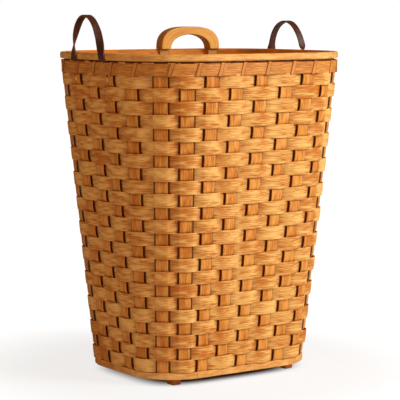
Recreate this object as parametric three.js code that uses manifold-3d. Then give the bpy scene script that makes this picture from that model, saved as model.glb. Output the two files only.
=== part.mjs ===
// A tall laundry hamper woven from flat wood splints. Stakes run up one wall, under the base and up
// the opposite wall, weavers go round them row by row, and a lashed band and a two-hoop rim close the
// mouth. An arched wooden handle stands on the back rim, and a leather strap swings on each end.
// Millimetres, +Z up, origin on the floor under the middle. The front wide wall faces -Y.

import * as THREE from "three";
import { mergeVertices } from "three/addons/utils/BufferGeometryUtils.js";
import Module from "manifold-3d";

// Clearance between neighbouring pieces
const FIT = 0.3;

// Plan of the walls, measured at the middle of the stakes
const BASE_WIDTH = 383;
const BASE_DEPTH = 286.5;
const BASE_CORNER_RADIUS = 93;
const MOUTH_WIDTH = 486;
const MOUTH_DEPTH = 417;
const MOUTH_CORNER_RADIUS = 142;

// Stakes: upright splints between the corner stakes of each wall, narrower at the base than at the
// mouth. The gap beside a corner stake is the given share of the spacing along the rest of the wall.
// They are creased up from the base, and lean out from a little above it.
const WIDE_WALL_STAKE_COUNT = 7;
const NARROW_WALL_STAKE_COUNT = 5;
const WIDE_WALL_CORNER_SHARE = 0.9;
const NARROW_WALL_CORNER_SHARE = 1;
const STAKE_WIDTH = 25.5;
const STAKE_BASE_WIDTH = 21.5;
const STAKE_THICK = 1.8;
const STAKE_CREASE = 3;
const WALL_START_RISE = 10.5;
const CORNER_TAIL_LENGTH = 60;

// Weavers: one closed splint to a row
const ROW_COUNT = 23;
const WEAVE_HEIGHT = 563.5;
const ROW_GAP = 0.5;
const TOP_ROW_TRIM = 3;
const WEAVER_THICK = 1.4;
const FACET_MARGIN = 1.25;

// Band below the rim, and the flat strip that lashes it to its inner twin
const BAND_HEIGHT = 22.5;
const OUTER_BAND_THICK = 2.2;
const INNER_BAND_THICK = 2;
const LASHING_WIDTH = 9;
const LASHING_THICK = 1;
const LASHING_START = 0.17;
const LASHING_SLANT = 0.22;

// Rim hoops, either side of the stake tops
const RIM_GAP = 4.1;
const RIM_HEIGHT = 12.5;
const OUTER_HOOP_THICK = 7.5;
const INNER_HOOP_THICK = 6;
const HOOP_ROUNDING = 2;
const STAKE_TOP_INSET = 1;

// Foot band and feet
const FOOT_HEIGHT = 11.5;
const FOOT_WIDTH = 19;
const FOOT_DEPTH = 23;
const FOOT_INSET_X = 30;
const FOOT_INSET_Y = 8;
const FOOT_CHAMFER = 1.2;
const FOOT_BAND_THICK = 2.5;
const FOOT_BAND_HEIGHT = 12.5;

// Arched handle on the back rim
const HANDLE_WIDTH = 132.5;
const HANDLE_OPENING = 90.5;
const HANDLE_RISE = 46;
const HANDLE_OPENING_RISE = 29.5;
const HANDLE_SQUARENESS = 2.4;
const HANDLE_OPENING_SQUARENESS = 2.15;
const HANDLE_STEPS = 20;
const HANDLE_DEPTH = 28;
const HANDLE_TAIL_DEPTH = 14;
const HANDLE_TAIL_DROP = 36;
const HANDLE_ROUNDING = 2.5;
const HANDLE_SHIFT = -2.5;
const HANDLE_STAKE_NUMBER = 2;

// Leather straps
const STRAP_WIDTH = 20;
const STRAP_THICK = 2.2;
const STRAP_REST_GAP = 0.5;
const LEFT_STRAP_RISE = 84;
const RIGHT_STRAP_RISE = 71;
const STRAP_STEPS = 24;
const STRAP_TWIST_HEIGHT = 56;
const TONGUE_WIDTH = 6;
const TONGUE_THICK = 1;
const PEG_WIDTH = 5.5;
const PEG_HEIGHT = 9;
const PEG_HEAD = 2.4;
const PEG_SHANK_RADIUS = 1.2;
const PEG_DROP = 8;

// Where the strap legs stand: how far along the wall from their stakes, and their tongues likewise
const LEFT_BACK_LEG_SHIFT = 7;
const LEFT_FRONT_LEG_SHIFT = -12;
const LEFT_FRONT_TONGUE_SHIFT = -5;
const RIGHT_FRONT_LEG_SHIFT = -6;
const RIGHT_BACK_LEG_SHIFT = -18;
const RIGHT_BACK_TONGUE_SHIFT = -9.5;
const LEFT_BACK_STAKE_NUMBER = 2;
const LEFT_FRONT_STAKE_NUMBER = 4;
const RIGHT_FRONT_STAKE_NUMBER = 3;
const RIGHT_BACK_STAKE_NUMBER = 5;

// Heights that follow from the sizes above
const TAIL_Z = FOOT_HEIGHT + FIT + STAKE_THICK / 2;
const BASE_LIFT = (STAKE_THICK + FIT) / 2;
const BASE_Z = TAIL_Z + STAKE_THICK + FIT + BASE_LIFT;
const TURN_Z = BASE_Z + WALL_START_RISE;
const FIRST_ROW_Z = TURN_Z + ROW_GAP;
const ROW_PITCH = WEAVE_HEIGHT / ROW_COUNT;
const MOUTH_Z = FIRST_ROW_Z + WEAVE_HEIGHT - ROW_GAP - TOP_ROW_TRIM;
const BAND_Z = MOUTH_Z + LASHING_THICK + 2 * FIT;
const BAND_TOP_Z = BAND_Z + BAND_HEIGHT;
const RIM_Z = BAND_TOP_Z + RIM_GAP;
const RIM_TOP_Z = RIM_Z + RIM_HEIGHT;
const STRAP_GAP_Z = RIM_Z - FIT - STRAP_THICK / 2;
const PEG_Z = MOUTH_Z - PEG_DROP;

// Distances outwards from the middle of the stakes
const STAKE_FACE = STAKE_THICK / 2;
const SEAT = STAKE_FACE + FIT;
const OUTER_HOOP_FACE = SEAT + OUTER_HOOP_THICK;
const INNER_HOOP_FACE = -SEAT - INNER_HOOP_THICK;
const STRAP_END_FACE = SEAT + STRAP_THICK;
const BAND_SEAT = STRAP_END_FACE + FIT;
const BAND_FACE = BAND_SEAT + OUTER_BAND_THICK;
const INNER_BAND_FACE = -SEAT - INNER_BAND_THICK;
const HINGE_OUT = OUTER_HOOP_FACE + STRAP_REST_GAP + STRAP_THICK / 2;
const CROWN_LIFT = SEAT + TONGUE_THICK + FIT + WEAVER_THICK / 2;
const FACET_HALF = STAKE_WIDTH / 2 + FACET_MARGIN;
const BASE_FACET_HALF = STAKE_BASE_WIDTH / 2 + FACET_MARGIN;

// Places in the ring of stakes, counted anticlockwise from the front left corner
const FRONT_LEFT = 0;
const FRONT_RIGHT = WIDE_WALL_STAKE_COUNT + 1;
const BACK_RIGHT = FRONT_RIGHT + NARROW_WALL_STAKE_COUNT + 1;
const BACK_LEFT = BACK_RIGHT + WIDE_WALL_STAKE_COUNT + 1;
const STAKE_COUNT = BACK_LEFT + NARROW_WALL_STAKE_COUNT + 1;

// Seats of the strap legs
const LEFT_STRAP_SEATS = [
  { stake: BACK_LEFT + LEFT_BACK_STAKE_NUMBER, shift: LEFT_BACK_LEG_SHIFT, tongueShift: 0, end: "back" },
  {
    stake: BACK_LEFT + LEFT_FRONT_STAKE_NUMBER,
    shift: LEFT_FRONT_LEG_SHIFT,
    tongueShift: LEFT_FRONT_TONGUE_SHIFT,
    end: "front",
  },
];
const RIGHT_STRAP_SEATS = [
  { stake: FRONT_RIGHT + RIGHT_FRONT_STAKE_NUMBER, shift: RIGHT_FRONT_LEG_SHIFT, tongueShift: 0, end: "front" },
  {
    stake: FRONT_RIGHT + RIGHT_BACK_STAKE_NUMBER,
    shift: RIGHT_BACK_LEG_SHIFT,
    tongueShift: RIGHT_BACK_TONGUE_SHIFT,
    end: "back",
  },
];

const UP = new THREE.Vector3(0, 0, 1);
const QUARTER_TURN = Math.PI / 2;

const wasm = await Module();
wasm.setup();

const hamper = new THREE.Group();

// Finishes

const finish = (color, roughness) => () => new THREE.MeshStandardMaterial({ color, roughness, metalness: 0 });
const weaverSplint = finish(0xd49a50, 0.55);
const stakeSplint = finish(0xb9763a, 0.6);
const rimWood = finish(0xd6a05a, 0.5);
const bandSplint = finish(0xc78743, 0.55);
const handleWood = finish(0xd8a562, 0.45);
const footWood = finish(0xa8682f, 0.6);
const leather = finish(0x4a2a20, 0.5);
const pegWood = finish(0xe0b678, 0.55);

function addPiece(name, geometry, material) {
  const mesh = new THREE.Mesh(geometry, material());
  mesh.name = name;
  hamper.add(mesh);
}

// Solids

function signedVolume(points, faces) {
  let volume = 0;
  for (let i = 0; i < faces.length; i += 3) {
    const [a, b, c] = [points[faces[i]], points[faces[i + 1]], points[faces[i + 2]]];
    volume += a.dot(b.clone().cross(c));
  }
  return volume;
}

// A solid through a row of sections, each a loop of as many points. A closed row joins end to end,
// an open one is capped. Both faces of a twisted strip are split along the same diagonal, so that its
// thickness stays even.
function loft(sections, closed) {
  const count = sections[0].length;
  const points = sections.flat();
  const faces = [];
  const spans = closed ? sections.length : sections.length - 1;
  for (let span = 0; span < spans; span++) {
    const here = span * count;
    const there = ((span + 1) % sections.length) * count;
    for (let k = 0; k < count; k++) {
      const next = (k + 1) % count;
      const [a, b, c, d] = [here + k, there + k, there + next, here + next];
      if (k < count / 2) {
        faces.push(a, b, c, a, c, d);
      } else {
        faces.push(a, b, d, b, c, d);
      }
    }
  }
  if (!closed) {
    const last = (sections.length - 1) * count;
    for (let k = 1; k < count - 1; k++) {
      faces.push(0, k, k + 1, last, last + k + 1, last + k);
    }
  }
  if (signedVolume(points, faces) < 0) {
    faces.reverse();
  }
  const geometry = new THREE.BufferGeometry().setFromPoints(points).setIndex(faces);
  geometry.computeVertexNormals();
  return geometry;
}

function toSolid(geometry) {
  const bare = geometry.clone();
  bare.deleteAttribute("normal");
  bare.deleteAttribute("uv");
  const merged = mergeVertices(bare);
  const vertProperties = merged.getAttribute("position").array;
  const triVerts = new Uint32Array(merged.index.array);
  return new wasm.Manifold(new wasm.Mesh({ numProp: 3, vertProperties, triVerts }));
}

function toGeometry(solid) {
  const { vertProperties, triVerts } = solid.getMesh();
  const geometry = new THREE.BufferGeometry();
  geometry.setAttribute("position", new THREE.BufferAttribute(vertProperties, 3));
  geometry.setIndex(new THREE.BufferAttribute(triVerts, 1));
  geometry.computeVertexNormals();
  return geometry;
}

// Ring of stakes

// The point at a distance along one wall of a rounded rectangle, from the middle of one corner to
// the middle of the next, and the turn of the outline there.
function pointOnWall(halfLength, halfGap, radius, distance) {
  const arc = (Math.PI / 4) * radius;
  const straightHalf = halfLength - radius;
  const fromMiddle = distance - arc - straightHalf;
  const turn = Math.sign(fromMiddle) * (Math.max(Math.abs(fromMiddle) - straightHalf, 0) / radius);
  const along = THREE.MathUtils.clamp(fromMiddle, -straightHalf, straightHalf) + radius * Math.sin(turn);
  return { along, out: halfGap - radius + radius * Math.cos(turn), turn };
}

const WALLS = [
  { stakes: WIDE_WALL_STAKE_COUNT, cornerShare: WIDE_WALL_CORNER_SHARE, wide: true },
  { stakes: NARROW_WALL_STAKE_COUNT, cornerShare: NARROW_WALL_CORNER_SHARE, wide: false },
  { stakes: WIDE_WALL_STAKE_COUNT, cornerShare: WIDE_WALL_CORNER_SHARE, wide: true },
  { stakes: NARROW_WALL_STAKE_COUNT, cornerShare: NARROW_WALL_CORNER_SHARE, wide: false },
];

// Where each stake meets a level with the given plan: a corner stake in the middle of each corner, and
// the rest evenly spaced along the outline between them.
function stakePlan(width, depth, radius) {
  return WALLS.flatMap(({ stakes, cornerShare, wide }, wall) => {
    const halfLength = (wide ? width : depth) / 2;
    const halfGap = (wide ? depth : width) / 2;
    const length = 2 * (halfLength - radius) + QUARTER_TURN * radius;
    const spacing = length / (stakes - 1 + 2 * cornerShare);
    return Array.from({ length: stakes + 1 }, (_, k) => {
      const distance = k === 0 ? 0 : (k - 1 + cornerShare) * spacing;
      const { along, out, turn } = pointOnWall(halfLength, halfGap, radius, distance);
      const place = new THREE.Vector3(along, -out, 0).applyAxisAngle(UP, wall * QUARTER_TURN);
      return { place, facing: (wall - 1) * QUARTER_TURN + turn };
    });
  });
}

const BASE_PLAN = stakePlan(BASE_WIDTH, BASE_DEPTH, BASE_CORNER_RADIUS);
const MOUTH_PLAN = stakePlan(MOUTH_WIDTH, MOUTH_DEPTH, MOUTH_CORNER_RADIUS);

const riseAt = (z) => THREE.MathUtils.clamp((z - TURN_Z) / (MOUTH_Z - TURN_Z), 0, 1);
const halfStakeAt = (z) => THREE.MathUtils.lerp(STAKE_BASE_WIDTH, STAKE_WIDTH, riseAt(z)) / 2;

// A stake at a height: its middle, the direction it faces and the direction along the wall.
// The walls lean out from the base to the mouth, and stand straight above it.
function stakeAt(stake, z) {
  const index = (stake + STAKE_COUNT) % STAKE_COUNT;
  const rise = riseAt(z);
  const facing = THREE.MathUtils.lerp(BASE_PLAN[index].facing, MOUTH_PLAN[index].facing, rise);
  const middle = BASE_PLAN[index].place.clone().lerp(MOUTH_PLAN[index].place, rise).setZ(z);
  const out = new THREE.Vector3(Math.cos(facing), Math.sin(facing), 0);
  const along = new THREE.Vector3(-Math.sin(facing), Math.cos(facing), 0);
  return { middle, out, along };
}

// A point beside a stake: so far along the wall, out from its middle, and up.
function beside(stake, along, out, z) {
  const frame = stakeAt(stake, z);
  return frame.middle.addScaledVector(frame.along, along).addScaledVector(frame.out, out);
}

// The same, but past the face of the stake it follows the ring on towards the next stake.
function alongRing(stake, along, out, z) {
  const side = Math.sign(along);
  const past = Math.abs(along) - FACET_HALF;
  if (past <= 0) {
    return beside(stake, along, out, z);
  }
  const corner = beside(stake, side * FACET_HALF, out, z);
  const next = beside(stake + side, -side * FACET_HALF, out, z);
  return corner.addScaledVector(next.sub(corner).normalize(), past);
}

// A ring that follows the faces of the stakes, with a profile of [out, z] corners.
function facetedRing(profile) {
  const sections = [];
  for (let stake = 0; stake < STAKE_COUNT; stake++) {
    for (const along of [-FACET_HALF, FACET_HALF]) {
      sections.push(profile.map(([out, z]) => beside(stake, along, out, z)));
    }
  }
  return loft(sections, true);
}

const rectangle = (innerOut, outerOut, lowZ, highZ) => [
  [innerOut, lowZ],
  [outerOut, lowZ],
  [outerOut, highZ],
  [innerOut, highZ],
];

// A rectangle whose corners on one side are cut back, for a moulded hoop.
function mouldedProfile(stakeSide, face, lowZ, highZ) {
  const cut = Math.sign(stakeSide - face) * HOOP_ROUNDING;
  return [
    [stakeSide, lowZ],
    [face + cut, lowZ],
    [face, lowZ + HOOP_ROUNDING],
    [face, highZ - HOOP_ROUNDING],
    [face + cut, highZ],
    [stakeSide, highZ],
  ];
}

// Stakes and base

function uprightSection(stake, z, mirrored) {
  const half = mirrored ? -halfStakeAt(z) : halfStakeAt(z);
  return [
    beside(stake, -half, -STAKE_FACE, z),
    beside(stake, half, -STAKE_FACE, z),
    beside(stake, half, STAKE_FACE, z),
    beside(stake, -half, STAKE_FACE, z),
  ];
}

// The two sections of a stake where it is creased from its wall to lie flat at the given height.
function creaseSections(stake, flatZ, mirrored) {
  const { middle, out, along } = stakeAt(stake, flatZ + STAKE_CREASE);
  const half = mirrored ? -STAKE_BASE_WIDTH / 2 : STAKE_BASE_WIDTH / 2;
  return [0, QUARTER_TURN].map((angle) => {
    const facing = out.clone().multiplyScalar(Math.cos(angle)).addScaledVector(UP, -Math.sin(angle));
    const centre = middle.clone().addScaledVector(out, -STAKE_CREASE).addScaledVector(facing, STAKE_CREASE);
    return [
      [-half, -STAKE_FACE],
      [half, -STAKE_FACE],
      [half, STAKE_FACE],
      [-half, STAKE_FACE],
    ].map(([side, depth]) => centre.clone().addScaledVector(along, side).addScaledVector(facing, depth));
  });
}

const STAKE_TOP_Z = RIM_TOP_Z - STAKE_TOP_INSET;
const UPRIGHT_LEVELS = [STAKE_TOP_Z, MOUTH_Z, TURN_Z];

// One splint up a wall, under the base and up the opposite wall. On the base it goes over and under
// the splints that cross it, which lie at the given places along its run.
function throughStake(nearStake, farStake, runDirection, crossings) {
  const near = UPRIGHT_LEVELS.map((z) => uprightSection(nearStake, z, false));
  const far = UPRIGHT_LEVELS.map((z) => uprightSection(farStake, z, true)).reverse();
  const nearCrease = creaseSections(nearStake, BASE_Z, false);
  const farCrease = creaseSections(farStake, BASE_Z, true).reverse();
  const side = stakeAt(nearStake, TURN_Z).middle.projectOnPlane(runDirection).setZ(0);
  const across = runDirection.clone().cross(UP);
  const flat = crossings.flatMap(({ place, over }) => {
    const z = BASE_Z + (over ? BASE_LIFT : -BASE_LIFT);
    return [place - BASE_FACET_HALF, place + BASE_FACET_HALF].map((run) => {
      const centre = side.clone().addScaledVector(runDirection, run).setZ(z);
      return [
        [-STAKE_BASE_WIDTH / 2, STAKE_FACE],
        [STAKE_BASE_WIDTH / 2, STAKE_FACE],
        [STAKE_BASE_WIDTH / 2, -STAKE_FACE],
        [-STAKE_BASE_WIDTH / 2, -STAKE_FACE],
      ].map(([offset, lift]) => centre.clone().addScaledVector(across, offset).addScaledVector(UP, lift));
    });
  });
  return loft([...near, ...nearCrease, ...flat, ...farCrease, ...far], false);
}

const numbered = (count) => Array.from({ length: count }, (_, k) => k + 1);

for (const wide of numbered(WIDE_WALL_STAKE_COUNT)) {
  const crossings = numbered(NARROW_WALL_STAKE_COUNT).map((narrow) => ({
    place: stakeAt(FRONT_RIGHT + narrow, TURN_Z).middle.y,
    over: (wide + narrow) % 2 === 0,
  }));
  const geometry = throughStake(wide, BACK_LEFT - wide, new THREE.Vector3(0, 1, 0), crossings);
  addPiece(`front_to_back_stake_${wide}`, geometry, stakeSplint);
}

for (const narrow of numbered(NARROW_WALL_STAKE_COUNT)) {
  const crossings = numbered(WIDE_WALL_STAKE_COUNT).map((wide) => ({
    place: -stakeAt(wide, TURN_Z).middle.x,
    over: (wide + narrow) % 2 === 1,
  }));
  const runDirection = new THREE.Vector3(-1, 0, 0);
  crossings.reverse();
  const opposite = STAKE_COUNT - narrow;
  const geometry = throughStake(FRONT_RIGHT + narrow, opposite, runDirection, crossings);
  addPiece(`side_to_side_stake_${narrow}`, geometry, stakeSplint);
}

// A corner stake ends in a tail that lies flat under the base.
function cornerStake(stake) {
  const { middle, out, along } = stakeAt(stake, TURN_Z);
  const tip = middle.clone().addScaledVector(out, -CORNER_TAIL_LENGTH).setZ(TAIL_Z);
  const tail = [
    [-STAKE_BASE_WIDTH / 2, STAKE_FACE],
    [STAKE_BASE_WIDTH / 2, STAKE_FACE],
    [STAKE_BASE_WIDTH / 2, -STAKE_FACE],
    [-STAKE_BASE_WIDTH / 2, -STAKE_FACE],
  ].map(([side, lift]) => tip.clone().addScaledVector(along, side).addScaledVector(UP, lift));
  const upright = UPRIGHT_LEVELS.map((z) => uprightSection(stake, z, false));
  return loft([...upright, ...creaseSections(stake, TAIL_Z, false), tail], false);
}

const CORNERS = [
  { name: "front_left", stake: FRONT_LEFT },
  { name: "front_right", stake: FRONT_RIGHT },
  { name: "back_right", stake: BACK_RIGHT },
  { name: "back_left", stake: BACK_LEFT },
];

for (const { name, stake } of CORNERS) {
  addPiece(`corner_stake_${name}`, cornerStake(stake), stakeSplint);
}

// Weavers

// How far a weaver dips behind a stake, so that on its way to the crowns on both sides it clears the
// edges of that stake.
function dipAt(z) {
  const spacings = numbered(STAKE_COUNT).map((stake) => {
    return stakeAt(stake, z).middle.distanceTo(stakeAt(stake - 1, z).middle);
  });
  const share = (halfStakeAt(z) + FIT) / (Math.min(...spacings) - halfStakeAt(z) - FACET_MARGIN);
  const clear = SEAT + WEAVER_THICK / 2;
  return (clear + share * CROWN_LIFT) / (1 - share);
}

// A weaver lies flat in front of every other stake and dips behind the rest. Row 1 is the top row,
// and the corner stakes stand in front of the odd rows.
function weaver(row) {
  const lowZ = FIRST_ROW_Z + (ROW_COUNT - row) * ROW_PITCH;
  const highZ = row === 1 ? MOUTH_Z : lowZ + ROW_PITCH - ROW_GAP;
  const dip = dipAt(lowZ);
  const crownHalf = halfStakeAt(highZ) + FACET_MARGIN;
  const sections = [];
  for (let stake = 0; stake < STAKE_COUNT; stake++) {
    const inFront = (stake + row) % 2 === 0;
    const middle = inFront ? CROWN_LIFT : -dip;
    const profile = rectangle(middle - WEAVER_THICK / 2, middle + WEAVER_THICK / 2, lowZ, highZ);
    for (const along of inFront ? [-crownHalf, crownHalf] : [0]) {
      sections.push(profile.map(([out, z]) => beside(stake, along, out, z)));
    }
  }
  return loft(sections, true);
}

for (const row of numbered(ROW_COUNT)) {
  addPiece(`weaver_${String(row).padStart(2, "0")}`, weaver(row), weaverSplint);
}

// Bands, lashing and rim

const outerHoop = facetedRing(mouldedProfile(SEAT, OUTER_HOOP_FACE, RIM_Z, RIM_TOP_Z));
const innerHoop = facetedRing(mouldedProfile(-SEAT, INNER_HOOP_FACE, RIM_Z, RIM_TOP_Z));
addPiece("outer_rim_hoop", outerHoop, rimWood);
addPiece("inner_rim_hoop", innerHoop, rimWood);
addPiece("outer_band", facetedRing(rectangle(BAND_SEAT, BAND_FACE, BAND_Z, BAND_TOP_Z)), bandSplint);
addPiece("inner_band", facetedRing(rectangle(INNER_BAND_FACE, -SEAT, BAND_Z, BAND_TOP_Z)), bandSplint);

const FOOT_BAND_TOP_Z = TURN_Z;
const FOOT_BAND_Z = FOOT_BAND_TOP_Z - FOOT_BAND_HEIGHT;
const footBandProfile = rectangle(SEAT, SEAT + FOOT_BAND_THICK, FOOT_BAND_Z, FOOT_BAND_TOP_Z);
addPiece("foot_band", facetedRing(footBandProfile), bandSplint);

// A section of the lashing in the gap after a stake, at a share of the way to the next stake. It lies
// against the bands at one [out, z] corner and shows at the other.
function lashingSection(stake, share, against, showing) {
  const rail = ([out, z]) => [beside(stake, FACET_HALF, out, z), beside(stake + 1, -FACET_HALF, out, z)];
  const edge = (corner, side) => {
    const [start, end] = rail(corner);
    const direction = end.clone().sub(start).normalize();
    return start.lerp(end, share).addScaledVector(direction, (side * LASHING_WIDTH) / 2);
  };
  return [edge(against, -1), edge(against, 1), edge(showing, 1), edge(showing, -1)];
}

// One strip, wound once round both bands in every gap: up the outside at a slant, in over the top,
// down the inside to the next gap and out again under the bands.
function lashing() {
  const outside = BAND_FACE + FIT;
  const inside = INNER_BAND_FACE - FIT;
  const low = BAND_Z - FIT;
  const high = BAND_TOP_Z + FIT;
  const sections = [];
  for (let stake = 0; stake < STAKE_COUNT; stake++) {
    const start = LASHING_START;
    const end = LASHING_START + LASHING_SLANT;
    sections.push(
      lashingSection(stake, start, [inside, low], [inside - LASHING_THICK, low - LASHING_THICK]),
      lashingSection(stake, start, [outside, low], [outside + LASHING_THICK, low - LASHING_THICK]),
      lashingSection(stake, end, [outside, high], [outside + LASHING_THICK, high + LASHING_THICK]),
      lashingSection(stake, end, [inside, high], [inside - LASHING_THICK, high + LASHING_THICK]),
    );
  }
  return loft(sections, true);
}

addPiece("band_lashing", lashing(), bandSplint);

// Feet

// A block with its four upright edges cut back, standing under the tail of a corner stake.
function footBlock() {
  const [x, y] = [FOOT_WIDTH / 2, FOOT_DEPTH / 2];
  const outline = new THREE.Shape([
    new THREE.Vector2(-x + FOOT_CHAMFER, -y),
    new THREE.Vector2(x - FOOT_CHAMFER, -y),
    new THREE.Vector2(x, -y + FOOT_CHAMFER),
    new THREE.Vector2(x, y - FOOT_CHAMFER),
    new THREE.Vector2(x - FOOT_CHAMFER, y),
    new THREE.Vector2(-x + FOOT_CHAMFER, y),
    new THREE.Vector2(-x, y - FOOT_CHAMFER),
    new THREE.Vector2(-x, -y + FOOT_CHAMFER),
  ]);
  return new THREE.ExtrudeGeometry(outline, { depth: FOOT_HEIGHT, bevelEnabled: false });
}

for (const { name, stake } of CORNERS) {
  const { middle } = stakeAt(stake, TURN_Z);
  const x = middle.x - Math.sign(middle.x) * FOOT_INSET_X;
  const y = middle.y - Math.sign(middle.y) * FOOT_INSET_Y;
  addPiece(`foot_${name}`, footBlock().translate(x, y, 0), footWood);
}

// Arched handle

// The frame of something that stands across two seats on the wall: local X along the wall, Y up and
// Z outwards, with the origin midway between the seats.
function chordFrame(start, end, z) {
  const along = end.clone().sub(start).setZ(0).normalize();
  const out = along.clone().cross(UP);
  const middle = start.clone().add(end).multiplyScalar(0.5).setZ(z);
  return { along, out, middle, matrix: new THREE.Matrix4().makeBasis(along, UP, out).setPosition(middle) };
}

// Points of an arch from its right foot to its left, where |x / halfWidth| and |y / rise|, each raised
// to the squareness, add up to one. A squareness of two is half an ellipse.
function archPoints(halfWidth, rise, squareness) {
  return Array.from({ length: HANDLE_STEPS + 1 }, (_, step) => {
    const angle = (Math.PI * step) / HANDLE_STEPS;
    const across = Math.sign(Math.cos(angle)) * Math.abs(Math.cos(angle)) ** (2 / squareness);
    const up = Math.abs(Math.sin(angle)) ** (2 / squareness);
    return new THREE.Vector2(halfWidth * across, rise * up);
  });
}

// An arched ring on two straight legs.
function archOutline() {
  const outer = HANDLE_WIDTH / 2;
  const inner = HANDLE_OPENING / 2;
  return new THREE.Shape([
    new THREE.Vector2(-outer, -HANDLE_TAIL_DROP),
    new THREE.Vector2(-inner, -HANDLE_TAIL_DROP),
    ...archPoints(inner, HANDLE_OPENING_RISE, HANDLE_OPENING_SQUARENESS).reverse(),
    new THREE.Vector2(inner, -HANDLE_TAIL_DROP),
    new THREE.Vector2(outer, -HANDLE_TAIL_DROP),
    ...archPoints(outer, HANDLE_RISE, HANDLE_SQUARENESS),
  ]);
}

// The handle's legs stand on the rim. Below it they are cut back to tails that fit the inner hoop.
function archHandle() {
  const middleStake = BACK_RIGHT + HANDLE_STAKE_NUMBER;
  const start = beside(middleStake - 1, 0, INNER_HOOP_FACE, RIM_TOP_Z);
  const end = beside(middleStake + 1, 0, INNER_HOOP_FACE, RIM_TOP_Z);
  const blank = new THREE.ExtrudeGeometry(archOutline(), {
    depth: HANDLE_DEPTH - 2 * HANDLE_ROUNDING,
    bevelThickness: HANDLE_ROUNDING,
    bevelSize: HANDLE_ROUNDING,
    bevelOffset: -HANDLE_ROUNDING,
    bevelSegments: 1,
  });
  blank.translate(HANDLE_SHIFT, 0, HANDLE_ROUNDING - HANDLE_TAIL_DEPTH);
  blank.applyMatrix4(chordFrame(start, end, RIM_TOP_Z).matrix);
  const clearance = rectangle(
    INNER_HOOP_FACE - FIT,
    OUTER_HOOP_FACE + HANDLE_DEPTH,
    RIM_TOP_Z - 2 * HANDLE_TAIL_DROP,
    RIM_TOP_Z + FIT,
  );
  return toGeometry(toSolid(blank).subtract(toSolid(facetedRing(clearance))));
}

addPiece("arch_handle", archHandle(), handleWood);

// Leather straps

// The line that a strap folds about, just outside the rim hoop. Each end moves out until the strap,
// flat along the line, clears the hoop where it curves away.
function strapFold(seats) {
  const reach = (extra) =>
    seats.map(({ stake, shift }, k) => alongRing(stake, shift, HINGE_OUT + extra[k], STRAP_GAP_Z));
  const { along } = chordFrame(...reach([0, 0]), STRAP_GAP_Z);
  const extra = seats.map(({ stake }) => {
    return (STRAP_WIDTH / 2) * Math.abs(stakeAt(stake, STRAP_GAP_Z).out.dot(along));
  });
  const feet = reach(extra);
  return { feet, ...chordFrame(...feet, STRAP_GAP_Z) };
}

// The loop rises as half an ellipse from the fold line. Each leg is flat against the rim, and just
// above it makes a quarter turn, so that the strap lies flat across the rest of the loop.
function strapLoop({ feet, along, out, middle }, rise) {
  const halfSpan = feet[0].distanceTo(feet[1]) / 2;
  const twistStart = RIM_TOP_Z + FIT - STRAP_GAP_Z;
  const sections = Array.from({ length: STRAP_STEPS + 1 }, (_, step) => {
    const angle = Math.PI * (1 - step / STRAP_STEPS);
    const height = rise * Math.sin(angle);
    const centre = middle.clone().addScaledVector(along, halfSpan * Math.cos(angle)).addScaledVector(UP, height);
    const outward = along.clone().multiplyScalar(rise * Math.cos(angle));
    outward.addScaledVector(UP, halfSpan * Math.sin(angle)).normalize();
    const twist = QUARTER_TURN * THREE.MathUtils.smoothstep(height, twistStart, twistStart + STRAP_TWIST_HEIGHT);
    const face = outward.clone().multiplyScalar(Math.cos(twist)).addScaledVector(out, -Math.sin(twist));
    const depth = out.clone().multiplyScalar(Math.cos(twist)).addScaledVector(outward, Math.sin(twist));
    return [
      [-STRAP_WIDTH / 2, -STRAP_THICK / 2],
      [STRAP_WIDTH / 2, -STRAP_THICK / 2],
      [STRAP_WIDTH / 2, STRAP_THICK / 2],
      [-STRAP_WIDTH / 2, STRAP_THICK / 2],
    ].map(([side, lift]) => centre.clone().addScaledVector(face, side).addScaledVector(depth, lift));
  });
  return loft(sections, false);
}

// The fixed end of a strap: in under the rim, down behind the outer band, and a narrow tongue on
// the face of the stake below. It is creased where the ring turns from one face to the next.
function strapEnd({ stake, shift, tongueShift }, foot, { along, out }) {
  const [lowZ, highZ] = [STRAP_GAP_Z - STRAP_THICK / 2, STRAP_GAP_Z + STRAP_THICK / 2];
  const half = STRAP_WIDTH / 2;
  const crease = THREE.MathUtils.clamp(Math.sign(shift) * FACET_HALF - shift, -half / 2, half / 2);
  const sides = [-half, crease, half];
  const mouth = foot.clone().addScaledVector(out, -STRAP_THICK / 2 - FIT);
  const onRing = (side, face, z) => alongRing(stake, shift + side, face, z);
  const onFold = (side, z) => mouth.clone().addScaledVector(along, side).setZ(z);
  const loop = (inner, outer) => [...sides.map(inner), ...sides.map(outer).reverse()];
  const behindBand = loft(
    [
      loop(
        (side) => onRing(side, SEAT, BAND_Z),
        (side) => onRing(side, STRAP_END_FACE, BAND_Z),
      ),
      loop(
        (side) => onRing(side, SEAT, highZ),
        (side) => onRing(side, STRAP_END_FACE, lowZ),
      ),
      loop(
        (side) => onFold(side, highZ),
        (side) => onFold(side, lowZ),
      ),
    ],
    false,
  );
  const [left, right] = [tongueShift - TONGUE_WIDTH / 2, tongueShift + TONGUE_WIDTH / 2];
  const tongue = loft(
    [BAND_Z + TONGUE_WIDTH, MOUTH_Z, PEG_Z - PEG_HEIGHT].map((z) => [
      beside(stake, left, SEAT, z),
      beside(stake, right, SEAT, z),
      beside(stake, right, SEAT + TONGUE_THICK, z),
      beside(stake, left, SEAT + TONGUE_THICK, z),
    ]),
    false,
  );
  return toSolid(behindBand).add(toSolid(tongue));
}

// The frame of a stake's own face, so far along the wall from its middle: local X along the wall, Y up
// the stake, Z outwards.
function faceFrame(stake, shift, z) {
  const { middle, along } = stakeAt(stake, z);
  const upStake = stakeAt(stake, z).middle.sub(stakeAt(stake, z - 1).middle).normalize();
  const place = middle.addScaledVector(along, shift);
  return new THREE.Matrix4().makeBasis(along, upStake, along.clone().cross(upStake)).setPosition(place);
}

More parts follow.
